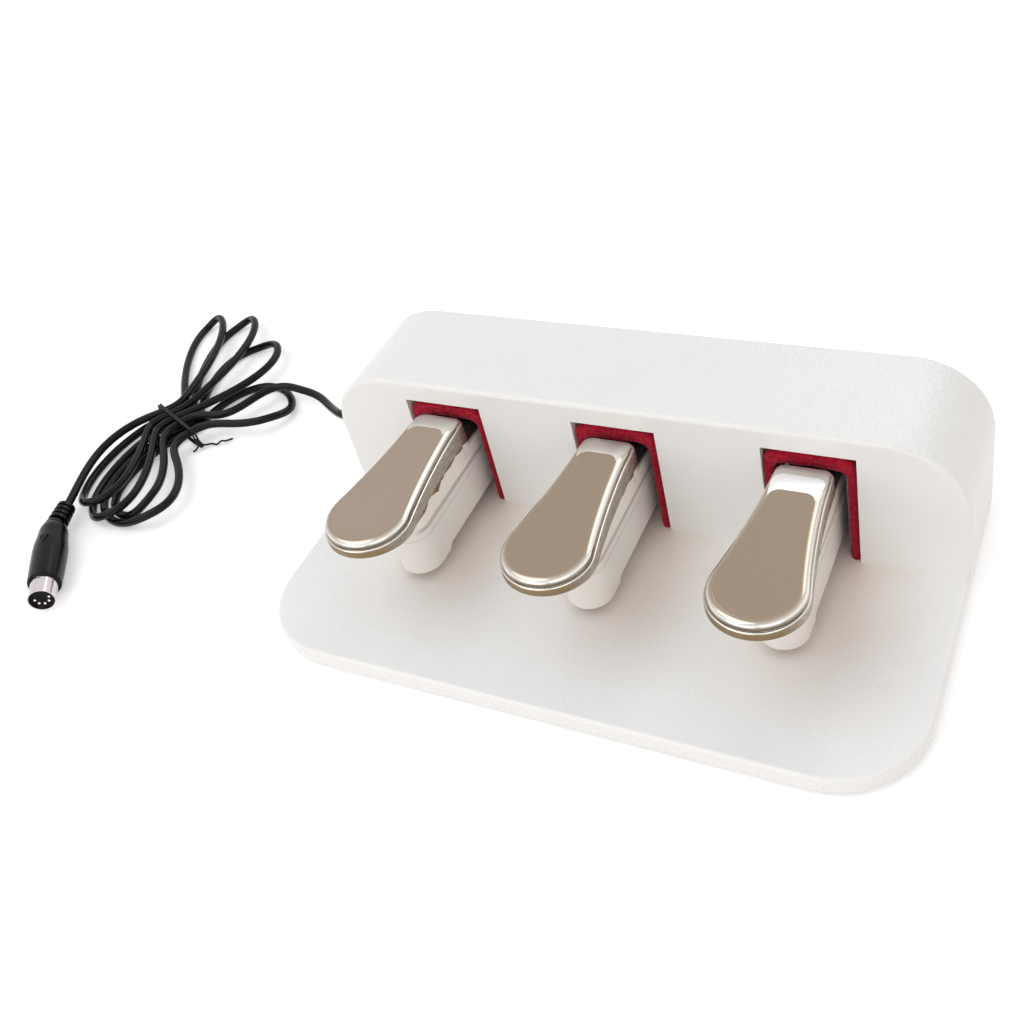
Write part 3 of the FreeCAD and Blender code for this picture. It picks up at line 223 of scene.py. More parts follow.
def make_housing():
    """Housing: white paint over a leather grain, with the pebbles almost flat on the upright sides."""
    m, tree, shader, where = new_material("housing_paint")
    pebbles = {"Vector": where, "Scale": per_metre(PEBBLE), "Randomness": 1.0}
    cells = add(tree, "TexVoronoi", pebbles, "Distance", feature="SMOOTH_F1")
    between = {"Vector": where, "Scale": per_metre(2.6), "Detail": 4.0, "Roughness": 0.6}
    broken = add(tree, "TexNoise", between)
    soft = add(tree, "TexNoise", {"Vector": where, "Scale": per_metre(26.0), "Detail": 3.0})
    tone = add(tree, "Mix", {0: soft, 6: lin("F3F3F2"), 7: lin("EFEFEE")}, 2, data_type="RGBA")
    tree.links.new(tone, shader.inputs["Base Color"])
    normal = add(tree, "NewGeometry", (), "Normal")
    upward = add(tree, "SeparateXYZ", (normal,), "Z")
    upper = add(tree, "MapRange", (upward, 0.2, 0.8, 0.06, 1.0))
    patches = add(tree, "MapRange", (broken, 0.3, 0.7, -0.11, 0.05))
    uneven = add(tree, "Math", (patches, upper), operation="MULTIPLY")
    tree.links.new(add(tree, "Math", (uneven, 0.33), operation="ADD"), shader.inputs["Roughness"])
    pebble = add(tree, "Math", (cells, upper), operation="MULTIPLY")
    rough = add(tree, "Math", (broken, upper), operation="MULTIPLY")
    bumped(tree, shader, [(pebble, 0.24), (rough, 0.18)])
    return m


made["housing"] = make_housing()


# Crimson felt, in mm: painted shade darkens it down the legs from one height to the other, and into the slot
# over this y
FELT_LEG_SHADE = (60.0, 50.0)
FELT_SLOT_SHADE = (26.4, 28.4)


def make_felt(name, colour, dark, light, slot_shade=None):
    """Pressed wool felt: matted fibres, small pale nubs, and painted shade down the legs and where it goes
    into the slot.

    Wool fibres are finer than the render shows, so tufts of 0.7 mm stand for them.
    """
    m, tree, shader, where = new_material(name)
    tufts = {"Vector": where, "Scale": per_metre(0.7), "Detail": 6.0, "Roughness": 0.75}
    fibres = add(tree, "TexNoise", tufts)
    knots = {"Vector": where, "Scale": per_metre(1.5), "Detail": 3.0, "Roughness": 0.6}
    clumps = add(tree, "TexNoise", knots)
    body = add(tree, "MapRange", (clumps, 0.36, 0.62, 0.0, 1.0))
    nubs = add(tree, "MapRange", (fibres, 0.57, 0.74, 0.0, 0.7))
    tone = add(tree, "Mix", {0: body, 6: lin(dark), 7: lin(colour)}, 2, data_type="RGBA")
    tone = add(tree, "Mix", {0: nubs, 6: tone, 7: lin(light)}, 2, data_type="RGBA")
    # Painted shade: darker down the legs, and darkest where the felt goes into the slot
    if slot_shade:
        y_place = add(tree, "SeparateXYZ", (where,), "Y")
        z_place = add(tree, "SeparateXYZ", (where,), "Z")
        legs = add(tree, "MapRange", (z_place, FELT_LEG_SHADE[0] * MM, FELT_LEG_SHADE[1] * MM, 0.0, 0.45))
        slot = add(tree, "MapRange", (y_place, FELT_SLOT_SHADE[0] * MM, FELT_SLOT_SHADE[1] * MM, 0.0, 0.8))
        tone = add(tree, "Mix", {0: legs, 6: tone, 7: lin(dark)}, 2, data_type="RGBA")
        tone = add(tree, "Mix", {0: slot, 6: tone, 7: lin(slot_shade)}, 2, data_type="RGBA")
    tree.links.new(tone, shader.inputs["Base Color"])
    shader.inputs["Roughness"].default_value = 0.95
    shader.inputs["Sheen Weight"].default_value = 0.5
    shader.inputs["Sheen Roughness"].default_value = 0.4
    shader.inputs["Sheen Tint"].default_value = lin(light)
    shader.inputs["Specular IOR Level"].default_value = 0.15
    bumped(tree, shader, [(clumps, 0.4), (fibres, 0.3)])
    return m


made["felt"] = make_felt("crimson_felt", "B41430", "860A1F", "EA93A4", "2C040C")
made["pad_felt"] = make_felt("grey_felt", "4A4A4C", "38383A", "77777A")


# Lever's side, in mm: half of the groove's width, its front end, the flank over it painted paler as painted
# light, the painted shade at the root, and the painted shadow under the cap's edge, where it widens and how
# wide at the rear
GROOVE_HALF = (1.5, 0.2)
GROOVE_START = (-31.0, -27.0)
PAINTED_LIGHT_FLANK = (34.0, 40.0)
ROOT_SHADE_Y = (19.5, 22.5)
ROOT_SHADE_Z = (44.5, 48.5)
GAP_SHADOW_OPENS = (2.0, 22.0)
GAP_SHADOW_AT_REAR = 3.2


def make_lever():
    """Lever: warm white moulding, a soft groove along each side, painted light on the flank over it, and
    painted shade in the groove, at the root in the slot and under the cap's edge.
    """
    m, tree, shader, where = new_material("lever_moulding")
    y_place = add(tree, "SeparateXYZ", (where,), "Y")
    z_place = add(tree, "SeparateXYZ", (where,), "Z")
    soft = add(tree, "TexNoise", {"Vector": where, "Scale": per_metre(16.0), "Detail": 3.0})
    skin = {"Vector": where, "Scale": per_metre(1.6), "Detail": 3.0, "Roughness": 0.6}
    fine = add(tree, "TexNoise", skin)
    tone = add(tree, "Mix", {0: soft, 6: lin("F2EFEB"), 7: lin("EDE9E3")}, 2, data_type="RGBA")

    # Groove: on both flanks, from behind the rounded front to the slot
    normal = add(tree, "NewGeometry", (), "Normal")
    flank = add(tree, "Math", (add(tree, "SeparateXYZ", (normal,), "X"),), operation="ABSOLUTE")
    sideways = add(tree, "MapRange", (flank, 0.6, 0.9, 0.0, 1.0))
    above_middle = add(tree, "Math", (z_place, GROOVE_Z * MM), operation="SUBTRACT")
    off = add(tree, "Math", (above_middle,), operation="ABSOLUTE")
    groove = add(tree, "MapRange", (off, GROOVE_HALF[0] * MM, GROOVE_HALF[1] * MM, 0.0, 1.0))
    groove = add(tree, "Math", (groove, sideways), operation="MULTIPLY")
    past_foot = add(tree, "MapRange", (y_place, GROOVE_START[0] * MM, GROOVE_START[1] * MM, 0.0, 1.0))
    groove = add(tree, "Math", (groove, past_foot), operation="MULTIPLY")

    # The flank over the groove is painted paler as painted light, and the groove gets painted shade
    upper = add(tree, "MapRange", (z_place, PAINTED_LIGHT_FLANK[0] * MM, PAINTED_LIGHT_FLANK[1] * MM, 0.0, 0.9))
    upper = add(tree, "Math", (upper, sideways), operation="MULTIPLY")
    tone = add(tree, "Mix", {0: upper, 6: tone, 7: lin("FFFAF4")}, 2, data_type="RGBA")
    shaded = add(tree, "MapRange", (groove, 0.0, 1.0, 0.0, 0.6))
    tone = add(tree, "Mix", {0: shaded, 6: tone, 7: lin("A89B8F")}, 2, data_type="RGBA")

    # Root: painted shade where it goes up into the slot, and a painted shadow under the cap's lower edge
    # that widens towards the cap's rear
    root = add(tree, "MapRange", (y_place, ROOT_SHADE_Y[0] * MM, ROOT_SHADE_Y[1] * MM, 0.0, 1.0))
    high = add(tree, "MapRange", (z_place, ROOT_SHADE_Z[0] * MM, ROOT_SHADE_Z[1] * MM, 0.0, 0.92))
    root_shade = add(tree, "Math", (root, high), operation="MULTIPLY")
    tone = add(tree, "Mix", {0: root_shade, 6: tone, 7: lin("2E2224")}, 2, data_type="RGBA")
    edge_from = (EDGE_TIP + TIP_Y * EDGE_FALL) * MM
    below_edge = add(tree, "Math", (y_place, EDGE_FALL, -edge_from), operation="MULTIPLY_ADD")
    above = add(tree, "Math", (z_place, below_edge), operation="ADD")
    widens = (y_place, GAP_SHADOW_OPENS[0] * MM, GAP_SHADOW_OPENS[1] * MM, 0.0, GAP_SHADOW_AT_REAR * MM)
    opening = add(tree, "MapRange", widens)
    gap = add(tree, "Math", (above, opening), operation="ADD")
    shadow = add(tree, "MapRange", (gap, 0.0, 0.6 * MM, 0.0, 0.9))
    tone = add(tree, "Mix", {0: shadow, 6: tone, 7: lin("2A2020")}, 2, data_type="RGBA")

    tree.links.new(tone, shader.inputs["Base Color"])
    tree.links.new(add(tree, "MapRange", (fine, 0.3, 0.7, 0.3, 0.42)), shader.inputs["Roughness"])
    sunk = add(tree, "Math", (groove, -1.0), operation="MULTIPLY")
    bumped(tree, shader, [(sunk, 0.6), (fine, 0.012)])
    return m


made["lever_plastic"] = make_lever()


def make_glue():
    """Hard brown glue: amber and dull where thin, dark and glossy where it has pooled."""
    m, tree, shader, where = new_material("brown_glue")
    pools = {"Vector": where, "Scale": per_metre(3.5), "Detail": 3.0, "Roughness": 0.6}
    pool = add(tree, "TexNoise", pools)
    bubbles = add(tree, "TexNoise", {"Vector": where, "Scale": per_metre(0.8), "Detail": 3.0})
    thick = add(tree, "MapRange", (pool, 0.35, 0.68, 0.0, 1.0))
    tone = add(tree, "Mix", {0: thick, 6: lin("9A763C"), 7: lin("3E2A12")}, 2, data_type="RGBA")
    tree.links.new(tone, shader.inputs["Base Color"])
    tree.links.new(add(tree, "MapRange", (pool, 0.3, 0.7, 0.55, 0.3)), shader.inputs["Roughness"])
    bumped(tree, shader, [(pool, 0.3), (bubbles, 0.08)])
    return m


made["glue"] = make_glue()


def by_facing(tree, upward, stops):
    """A colour by how far the surface faces up; stops are (how far, hex)."""
    colour = add(tree, "ValToRGB", (upward,), "Color")
    points = colour.node.color_ramp.elements
    while len(points) < len(stops):
        points.new(0.5)
    for point, (place, text) in zip(points, stops):
        point.position = place
        point.color = lin(text)
    return colour


# The plate takes its tip colours, a darker painted reflection, over this y, and the left cap its paler
# plateau, a painted reflection, over this x, in mm
TIP_FADE = (-46.0, -58.0)
LEFT_FADE = (-30.0, -50.0)


def make_nickel(name, stops, tip_stops, rough, scratch, painted_mottle=0.0):
    """Nickel plate: a warm mirror with hair-fine marks; its colour is painted by how far it faces up, a
    painted reflection of the room that is darker where it turns down to the room, with a painted highlight
    band.

    Polishing marks are finer than the render shows, so they are drawn 0.45 mm wide.
    """
    m, tree, shader, where = new_material(name)
    shader.inputs["Metallic"].default_value = 1.0
    normal = add(tree, "NewGeometry", (), "Normal")
    upward = add(tree, "SeparateXYZ", (normal,), "Z")
    y_place = add(tree, "SeparateXYZ", (where,), "Y")
    nose = add(tree, "MapRange", (y_place, TIP_FADE[0] * MM, TIP_FADE[1] * MM, 0.0, 1.0))
    # Painted reflection and painted highlight, chosen by how far the plate faces up
    along_cap = by_facing(tree, upward, stops)
    round_tip = by_facing(tree, upward, tip_stops)
    tone = add(tree, "Mix", {0: nose, 6: along_cap, 7: round_tip}, 2, data_type="RGBA")
    touched = {"Vector": where, "Scale": per_metre(6.0), "Detail": 5.0, "Roughness": 0.65}
    haze = add(tree, "TexNoise", touched)
    drawn_out = add(tree, "Mapping", {"Vector": where, "Scale": (1.0, 0.3, 1.0)})
    polish = {"Vector": drawn_out, "Scale": per_metre(0.45), "Detail": 4.0, "Roughness": 0.7}
    hair = add(tree, "TexNoise", polish)
    # Painted streaks of reflection and painted glints on the walls
    if painted_mottle:
        dull = {"Vector": drawn_out, "Scale": per_metre(0.9), "Detail": 4.0, "Roughness": 0.7}
        streaks = add(tree, "MapRange", (add(tree, "TexNoise", dull), 0.35, 0.65, painted_mottle, 0.0))
        tone = add(tree, "Mix", {0: streaks, 6: tone, 7: lin("6E655A")}, 2, data_type="RGBA")
        bright = {"Vector": drawn_out, "Scale": per_metre(1.5), "Detail": 3.0, "Roughness": 0.6}
        glints = add(tree, "MapRange", (add(tree, "TexNoise", bright), 0.52, 0.8, 0.0, painted_mottle))
        glints = add(tree, "Math", (glints, nose), operation="SUBTRACT", use_clamp=True)
        tone = add(tree, "Mix", {0: glints, 6: tone, 7: lin("EAE5DD")}, 2, data_type="RGBA")
    gloss = add(tree, "MapRange", (haze, 0.35, 0.7, rough * 0.7, rough * 1.4))
    tree.links.new(tone, shader.inputs["Base Color"])
    tree.links.new(gloss, shader.inputs["Roughness"])
    bumped(tree, shader, [(hair, scratch)])
    return m


# Each stop is (how far the plate faces up, colour), a painted reflection of the room with a painted
# highlight band: first along the cap, then round its tip
ROLL_STOPS = [
    (0.0, "81776B"), (0.25, "968B7E"), (0.45, "BFB6AB"), (0.64, "FAF8F5"), (0.8, "D8D1C7"),
    (0.93, "B5A899"), (1.0, "A39381")]
ROLL_TIP_STOPS = [
    (0.0, "574D40"), (0.2, "6A5F52"), (0.42, "9A9184"), (0.64, "F6F3EE"), (0.8, "CFC7BC"), (1.0, "A39381")]
WALL_STOPS = [(0.0, "CBC4BA"), (0.5, "D6D0C7"), (1.0, "DDD8CF")]
WALL_TIP_STOPS = [(0.0, "8E7654"), (0.5, "A08B6C"), (1.0, "C6BBA9")]
made["nickel"] = make_nickel("nickel_polished", ROLL_STOPS, ROLL_TIP_STOPS, 0.17, 0.004)
nickel_wall = make_nickel("nickel_wall", WALL_STOPS, WALL_TIP_STOPS, 0.36, 0.09, 0.55)
nickel_satin = plated("nickel_satin", "D5D2CB", 0.52, 0.02)
# Painted white highlight for the rear of the right cap's plateau
nickel_painted_highlight = plated("nickel_painted_highlight", "FFFFFF", 0.4, 0.01)


def make_taupe():
    """Plateau of each cap: satin taupe over the plate, a painted reflection of the room which keeps one even
    tone.
    """
    m, tree, shader, where = new_material("nickel_taupe")
    haze = add(tree, "TexNoise", {"Vector": where, "Scale": per_metre(25.0), "Detail": 3.0})
    x_place = add(tree, "SeparateXYZ", (where,), "X")
    # Painted reflection: the left cap's plateau is painted paler
    toward_left = add(tree, "MapRange", (x_place, LEFT_FADE[0] * MM, LEFT_FADE[1] * MM, 0.0, 1.0))
    tone = add(tree, "Mix", {0: toward_left, 6: lin("9E8C78"), 7: lin("A99788")}, 2, data_type="RGBA")
    cloud = add(tree, "MapRange", (haze, 0.2, 0.8, 0.0, 0.3))
    tone = add(tree, "Mix", {0: cloud, 6: tone, 7: lin("A3927F")}, 2, data_type="RGBA")
    tree.links.new(tone, shader.inputs["Base Color"])
    shader.inputs["Metallic"].default_value = 0.15
    tree.links.new(add(tree, "MapRange", (haze, 0.3, 0.7, 0.42, 0.5)), shader.inputs["Roughness"])
    shader.inputs["Specular IOR Level"].default_value = 0.3
    return m


taupe = make_taupe()

for part in frame["record"]["subparts"]:
    node = frame["nodes"][part["node"]]
    skin = made[part["material_slot"]]
    if node.material_slots:
        for place in node.material_slots:
            place.material = skin
    else:
        node.data.materials.append(skin)


def piece(name, body, slot, mesh, *skins):
    """An object for a new piece, riding on its body, with its finish; slot is not used."""
    obj = bpy.data.objects.new(name, mesh)
    bpy.context.scene.collection.objects.link(obj)
    for skin in skins:
        mesh.materials.append(skin)
    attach(obj, body)
    return obj


def ringed(name, rings, close_ends=(False, False)):
    """A skin through closed rings of points (mm), each ring with the same number of points."""
    mesh = bpy.data.meshes.new(name)
    count = len(rings[0])
    points = [Vector(p) * MM for ring in rings for p in ring]
    faces = []
    for k in range(len(rings) - 1):
        for i in range(count):
            j = (i + 1) % count
            faces.append((k * count + i, k * count + j, (k + 1) * count + j, (k + 1) * count + i))
    if close_ends[0]:
        faces.append(tuple(reversed(range(count))))
    if close_ends[1]:
        faces.append(tuple(range((len(rings) - 1) * count, len(rings) * count)))
    mesh.from_pydata(points, [], faces)
    mesh.update()
    return mesh


# Cord: one line from the gland to the plug, through the hank's loops
HANK_LOW = 3.65
HANK_HIGH = 8.65
WAIST = Vector((-282.0, 43.0, 0))
UPWARD = Vector((0.4, 0.9165, 0))
ACROSS = Vector((0.9165, -0.4, 0))
WAIST_HALF = 14.0
LEAD = [(-161, 58, 16), (-174, 58, 16), (-190, 68.5, 9.8), (-206, 79, HANK_HIGH), (-224, 82, HANK_HIGH)]
PETAL = [(114, 82, 20, 0.0), (102, 83, 26, 0.0), (85, 65, 35, 0.0), (46, 45, 30, 0.0)]
BELOW = [(-83, 60, 21, 0.1), (-78, 64, 24, 0.1), (-74, 57, 33, 0.0), (-75, 52, 26, 0.1)]
LEFT_AT = [-16.2, -6.7, 1.5, 8.7]
RIGHT_AT = [-12.9, -5.7, 2.7, 25.4]
LEAD_AT = 12.4
TAIL_AT = -17.7
TAIL_WAY = 238
LINK_HANDLE = 0.36
PETAL_CLIMB = [(0.36, 0.64), (0.36, 0.64), (0.36, 0.64), (0.56, 0.84)]
BELOW_CLIMB = [(0.42, 0.72), (0.38, 0.66), (0.32, 0.60), (0.26, 0.52)]
CORD_R = 2.2
PLUG_Z = 8.6
RELIEF_START = Vector((-297.6, -31.2, PLUG_Z))
SHOULDER = Vector((-292.8, -45.8, PLUG_Z))


def at_waist(u, v, z=0.0):
    """A point u across the hank and v along it from the middle of its waist."""
    p = WAIST + ACROSS * u + UPWARD * v
    return Vector((p.x, p.y, z))


def ease(t):
    """A smooth step from 0 to 1."""
    t = min(max(t, 0.0), 1.0)
    return t * t * (3 - 2 * t)


def bezier(p, s):
    r = 1 - s
    return p[0] * r ** 3 + p[1] * (3 * s * r * r) + p[2] * (3 * s * s * r) + p[3] * s ** 3


def heading(degrees):
    return Vector((math.cos(math.radians(degrees)), math.sin(math.radians(degrees)), 0))


def loop_controls(start, end, row):
    """A loop's four control points; a cubic reaches 0.75 of the way to them, and 0.578 of their width."""
    degrees, length, width, lean = row
    way = heading(degrees)
    side = Vector((way.y, -way.x, 0))
    if (end - start).dot(side) < 0:
        side = side * -1
    reach = length / 0.75
    half = width / 0.578
    return [start, start + way * (reach * (1 + lean)) - side * half,
            end + way * (reach * (1 - lean)) + side * half, end]


def dip(t):
    """How far a low strand has come down from the waist to the floor."""
    return (HANK_LOW - CORD_R - 0.05) * ease(t / 0.2)


def hank_points(count):
    """The hank's line: from the lead, through the waist, round all loops, to the plug."""
    spans = []
    previous = at_waist(LEAD_AT, -WAIST_HALF)
    for k in (3, 2, 1, 0):
        low = at_waist(LEFT_AT[k], -WAIST_HALF)
        spans.append((loop_controls(previous, low, BELOW[k]), BELOW_CLIMB[k], False))
        start = at_waist(LEFT_AT[k], WAIST_HALF)
        end = at_waist(RIGHT_AT[k], WAIST_HALF)
        spans.append((loop_controls(start, end, PETAL[k]), PETAL_CLIMB[k], True))
        previous = at_waist(RIGHT_AT[k], -WAIST_HALF)
    top = at_waist(LEAD_AT, WAIST_HALF)
    flat_end = Vector((LEAD[-1][0], LEAD[-1][1], 0))
    last = [flat_end, flat_end + Vector((-27, 4.5, 0)), top + (UPWARD * 0.35 + ACROSS * 0.94) * 26, top]
    points = []
    for i in range(count):
        p = bezier(last, i / count)
        points.append(Vector((p.x, p.y, HANK_HIGH)))
    for controls, (c0, c1), rising in spans:
        way0 = (last[3] - last[2]).normalized()
        way1 = (controls[1] - controls[0]).normalized()
        gap = LINK_HANDLE * (controls[0] - last[3]).length
        link = [last[3], last[3] + way0 * gap, controls[0] - way1 * gap, controls[0]]
        level = HANK_LOW if rising else HANK_HIGH
        for i in range(count // 3):
            p = bezier(link, i * 3.0 / count)
            points.append(Vector((p.x, p.y, level)))
        for i in range(count):
            t = i / count
            p = bezier(controls, t)
            climb = ease((t - c0) / (c1 - c0))
            if rising:
                z = (HANK_LOW - dip(t)) * (1 - climb) + HANK_HIGH * climb
            else:
                z = HANK_HIGH * (1 - climb) + (HANK_LOW - dip(1 - t)) * climb
            points.append(Vector((p.x, p.y, z)))
        last = controls
    end = at_waist(TAIL_AT, -WAIST_HALF)
    way0 = (last[3] - last[2]).normalized()
    way1 = heading(TAIL_WAY)
    gap = LINK_HANDLE * (end - last[3]).length
    link = [last[3], last[3] + way0 * gap, end - way1 * gap, end]
    for i in range(count // 3):
        p = bezier(link, i * 3.0 / count)
        points.append(Vector((p.x, p.y, HANK_HIGH)))
    into = (SHOULDER - RELIEF_START).normalized()
    final = Vector((RELIEF_START.x, RELIEF_START.y, 0))
    tail = [end, end + way1 * 28, final - into * 22, final]
    for i in range(count + 1):
        p = bezier(tail, i / count)
        points.append(Vector((p.x, p.y, HANK_HIGH + (PLUG_Z - HANK_HIGH) * i / count)))
    return points


def strand_piece(name, slot, lines, radius, along_steps, round_steps):
    """Round strands along smooth NURBS lines, fixed to the unit; points and radius in mm."""
    data = bpy.data.curves.new(name, "CURVE")
    data.dimensions = "3D"
    data.resolution_u = along_steps
    data.bevel_depth = radius * MM
    data.bevel_resolution = round_steps
    data.use_fill_caps = True
    for points in lines:
        line = data.splines.new("NURBS")
        line.points.add(len(points) - 1)
        for place, p in zip(line.points, points):
            place.co = (p.x * MM, p.y * MM, p.z * MM, 1.0)
        line.order_u = 3
        line.use_endpoint_u = True
    return piece(name, "stand", slot, data, made[slot])


# Twist tie round the hank's waist, with its knot and the loose ends that curl away
TIE_R = 0.55
strands = []
for p in hank_points(24):
    if abs(Vector((p.x, p.y, 0)).dot(UPWARD) - WAIST.dot(UPWARD)) < 3.0:
        strands.append((p - WAIST).dot(ACROSS))
tie_u0 = min(strands) - CORD_R * 1.3 - TIE_R - 0.3
tie_u1 = max(strands) + CORD_R * 1.3 + TIE_R + 0.3
tie_z0 = TIE_R + 0.05
tie_z1 = HANK_HIGH + CORD_R + TIE_R + 0.35
tie_lines = []
for turn_at, slant in ((0.0, 0.0), (1.15, 0.5)):
    ring = [
        (tie_u0, tie_z0 + 1.5), (tie_u0, tie_z1 - 1.5), (tie_u0 + 1.5, tie_z1), (tie_u1 - 1.5, tie_z1),
        (tie_u1, tie_z1 - 1.5), (tie_u1, tie_z0 + 1.5), (tie_u1 - 1.5, tie_z0), (tie_u0 + 1.5, tie_z0)]
    line = []
    for k in range(len(ring)):
        (ua, za), (ub, zb) = ring[k], ring[(k + 1) % len(ring)]
        for s in (0.0, 0.5):
            wander = turn_at + slant * math.sin(1.7 * k + s)
            line.append(at_waist(ua + (ub - ua) * s, wander, za + (zb - za) * s))
    line.append(line[0].copy())
    tie_lines.append(line)
knot = []
for k in range(26):
    a = k * 1.25
    high = 4.4 - 0.075 * k + 0.95 * math.sin(a)
    knot.append(at_waist(tie_u1 + 0.4 + 0.17 * k, 0.6 + 0.95 * math.cos(a), high))
tie_lines.append(knot)
tie_lines.append([
    at_waist(tie_u1 + 3.6, 0.6, 3.2), at_waist(tie_u1 + 5.6, 2.6, 2.2), at_waist(tie_u1 + 6.0, 6.2, 1.2),
    at_waist(tie_u1 + 9.4, 7.0, 1.0), at_waist(tie_u1 + 10.0, 10.4, 2.4), at_waist(tie_u1 + 12.6, 11.2, 2.2),
    at_waist(tie_u1 + 12.4, 15.6, 1.0)])
tie_lines.append([
    at_waist(tie_u1 + 2.8, 0.2, 3.6), at_waist(tie_u1 + 4.6, -2.0, 2.0), at_waist(tie_u1 + 2.6, -4.2, 0.9)])
tie = strand_piece("twist_tie", "tie_wire", tie_lines, TIE_R, 5, 3)
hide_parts("cord_tie")

cord_points = [Vector(p) for p in LEAD[:-1]] + hank_points(15)
cord = strand_piece("cord_line", "cord_jacket", [cord_points], CORD_R, 6, 4)
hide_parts("cord_lead", "cord_hank")

# Pedal caps: a pressed, plated cap with a rolled edge over a groove and a lip, and a flat taupe plateau
# Profile rows are (inset, height) in mm, and REAR_ROWS are (distance from the rear edge, height)
HEAD_R = 19.0
HEAD_Y = TIP_Y + HEAD_R
NECK_HALF = 11.2
FLARE_R = 350.0
CAP_REAR = 22.0
CAP_REAR_R = 3.5
REAR_CORNER_MOST = 4.4
HEAD_STEPS = 30
FLARE_STEPS = 24
CORNER_STEPS = 9
REAR_BLEND = (7.0, 1.0)
RIM_TOP = B + 52.0
PLATEAU_TOP = B + 54.2
PLATEAU_INSET = 3.5
ROLL_FOOT = 0.55
ROLL_DROP = 3.0
REAR_TOP = 2.2
REAR_ROLL = 1.7
REAR_ROWS = [
    (0.7, -1.2), (0.9, -0.6), (REAR_ROLL, 0.0), (3.1, 0.38), (4.6, 0.8), (6.1, 1.22), (7.5, 1.62),
    (8.7, 1.96), (9.6, REAR_TOP)]
CAP_HEM = [(1.4, 5.0), (1.4, 0.35), (1.15, 0.06), (0.7, 0.0), (0.25, 0.06), (0.05, 0.3), (0.0, 0.7)]
CAP_LIP = [
    (0.0, -2.9), (0.03, -2.2), (0.14, -1.8), (0.36, -1.5), (0.62, -1.36), (0.86, -1.34), (0.98, -1.22),
    (0.92, -1.05)]
REAR_STRETCH = {"left": 1.2, "centre": 1.25, "right": 1.9}
ROLL_ROWS = 7
ROLL_SATIN = 7.0
RIM_SATIN = 3.0
PAINTED_HIGHLIGHT_ROWS = 6


def edge_z(y):
    """Height of the cap's lower edge, which slopes down to the rear."""
    return EDGE_TIP - EDGE_FALL * (y - TIP_Y)


def cap_ring(inset, rear_extra=0.0):
    """Plan of the cap drawn inwards by inset, as a closed row of (x, y) points."""
    rear = CAP_REAR - inset - rear_extra
    corner = min(CAP_REAR_R - 0.1 * inset + 0.14 * rear_extra, REAR_CORNER_MOST)
    flare_x = NECK_HALF + FLARE_R
    rise = math.sqrt((HEAD_R + FLARE_R) ** 2 - flare_x ** 2)
    lean = math.atan2(rise, flare_x)
    head = HEAD_R - inset
    flare = FLARE_R + inset
    stop = math.acos(min(1.0, (HEAD_Y + rise - rear + corner) / flare)) - math.pi / 2
    half = flare_x - flare * math.cos(stop)
    side = []
    for k in range(HEAD_STEPS):
        a = -math.pi / 2 + (math.pi / 2 + lean) * k / HEAD_STEPS
        side.append((head * math.cos(a), HEAD_Y + head * math.sin(a)))
    for k in range(FLARE_STEPS):
        a = lean + (-stop - lean) * k / FLARE_STEPS
        side.append((flare_x - flare * math.cos(a), HEAD_Y + rise - flare * math.sin(a)))
    for k in range(CORNER_STEPS + 1):
        a = math.pi / 2 * k / CORNER_STEPS
        side.append((half - corner + corner * math.cos(a), rear - corner + corner * math.sin(a)))
    for k in range(1, 5):
        side.append(((half - corner) * (1 - k / 5), rear))
    mirrored = [(-x, y) for x, y in reversed(side[1:])]
    return side + [(0.0, rear)] + mirrored


def cap_profile(stretch):
    """Rows of (inset, height at the sides, height and extra inset at the rear, where heights start)."""
    rows = [(inset, z, z, 0.0, "edge") for inset, z in CAP_HEM]
    rows += [(inset, z, z - 0.3, 0.0, "rim") for inset, z in CAP_LIP]
    rise = PLATEAU_TOP - RIM_TOP
    for k, (reach, z) in enumerate(REAR_ROWS):
        a = math.pi / 2 * k / (len(REAR_ROWS) - 1)
        inset = ROLL_FOOT + (PLATEAU_INSET - ROLL_FOOT) * (1 - math.cos(a))
        reach = reach if reach < REAR_ROLL else REAR_ROLL + (reach - REAR_ROLL) * stretch
        rows.append((inset, rise - ROLL_DROP * (1 - math.sin(a)), z, reach - inset, "rim"))
    rows.append((PLATEAU_INSET + 0.1, rise - 0.03, REAR_TOP - 0.03, reach - PLATEAU_INSET + 0.4, "rim"))
    return rows


def make_cap(side, px):
    """The cap's skin in rows from its hem up to the plateau, each row with its own finish."""
    rings = []
    wall_rows = 0
    outline = cap_ring(0.0)
    for inset, height, rear_height, rear_extra, base in cap_profile(REAR_STRETCH[side]):
        ring = []
        for (x, y), (_, y_out) in zip(cap_ring(inset, rear_extra), outline):
            rearward = ease((y_out - CAP_REAR + REAR_BLEND[0]) / (REAR_BLEND[0] - REAR_BLEND[1]))
            z = height + (rear_height - height) * rearward
            ring.append((px + x, y, z + (edge_z(y) if base == "edge" else RIM_TOP)))
        rings.append(ring)
        if base == "edge" or height < -2.0:
            wall_rows += 1
    mesh = ringed("cap_" + side, rings, (False, True))
    for material in (made["nickel"], nickel_wall, taupe, nickel_satin, nickel_painted_highlight):
        mesh.materials.append(material)
    count = len(rings[0])
    for k, polygon in enumerate(mesh.polygons):
        row = k // count
        polygon.use_smooth = True
        polygon.material_index = 1 if row < wall_rows else 0
        satin = ROLL_SATIN if row < wall_rows + ROLL_ROWS else RIM_SATIN
        if row >= wall_rows and outline[k % count][1] > CAP_REAR - satin:
            # The right cap's innermost rear rows take the painted white highlight; the other rear rows are
            # satin nickel
            inner = row >= len(rings) - PAINTED_HIGHLIGHT_ROWS
            polygon.material_index = 4 if inner and side == "right" else 3
    plateau = mesh.polygons[len(mesh.polygons) - 1]
    plateau.material_index = 2
    plateau.use_smooth = False
    obj = piece("cap_shell_" + side, "pedal_" + side, "nickel", mesh)
    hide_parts("pedal_cap_" + side)
    return obj


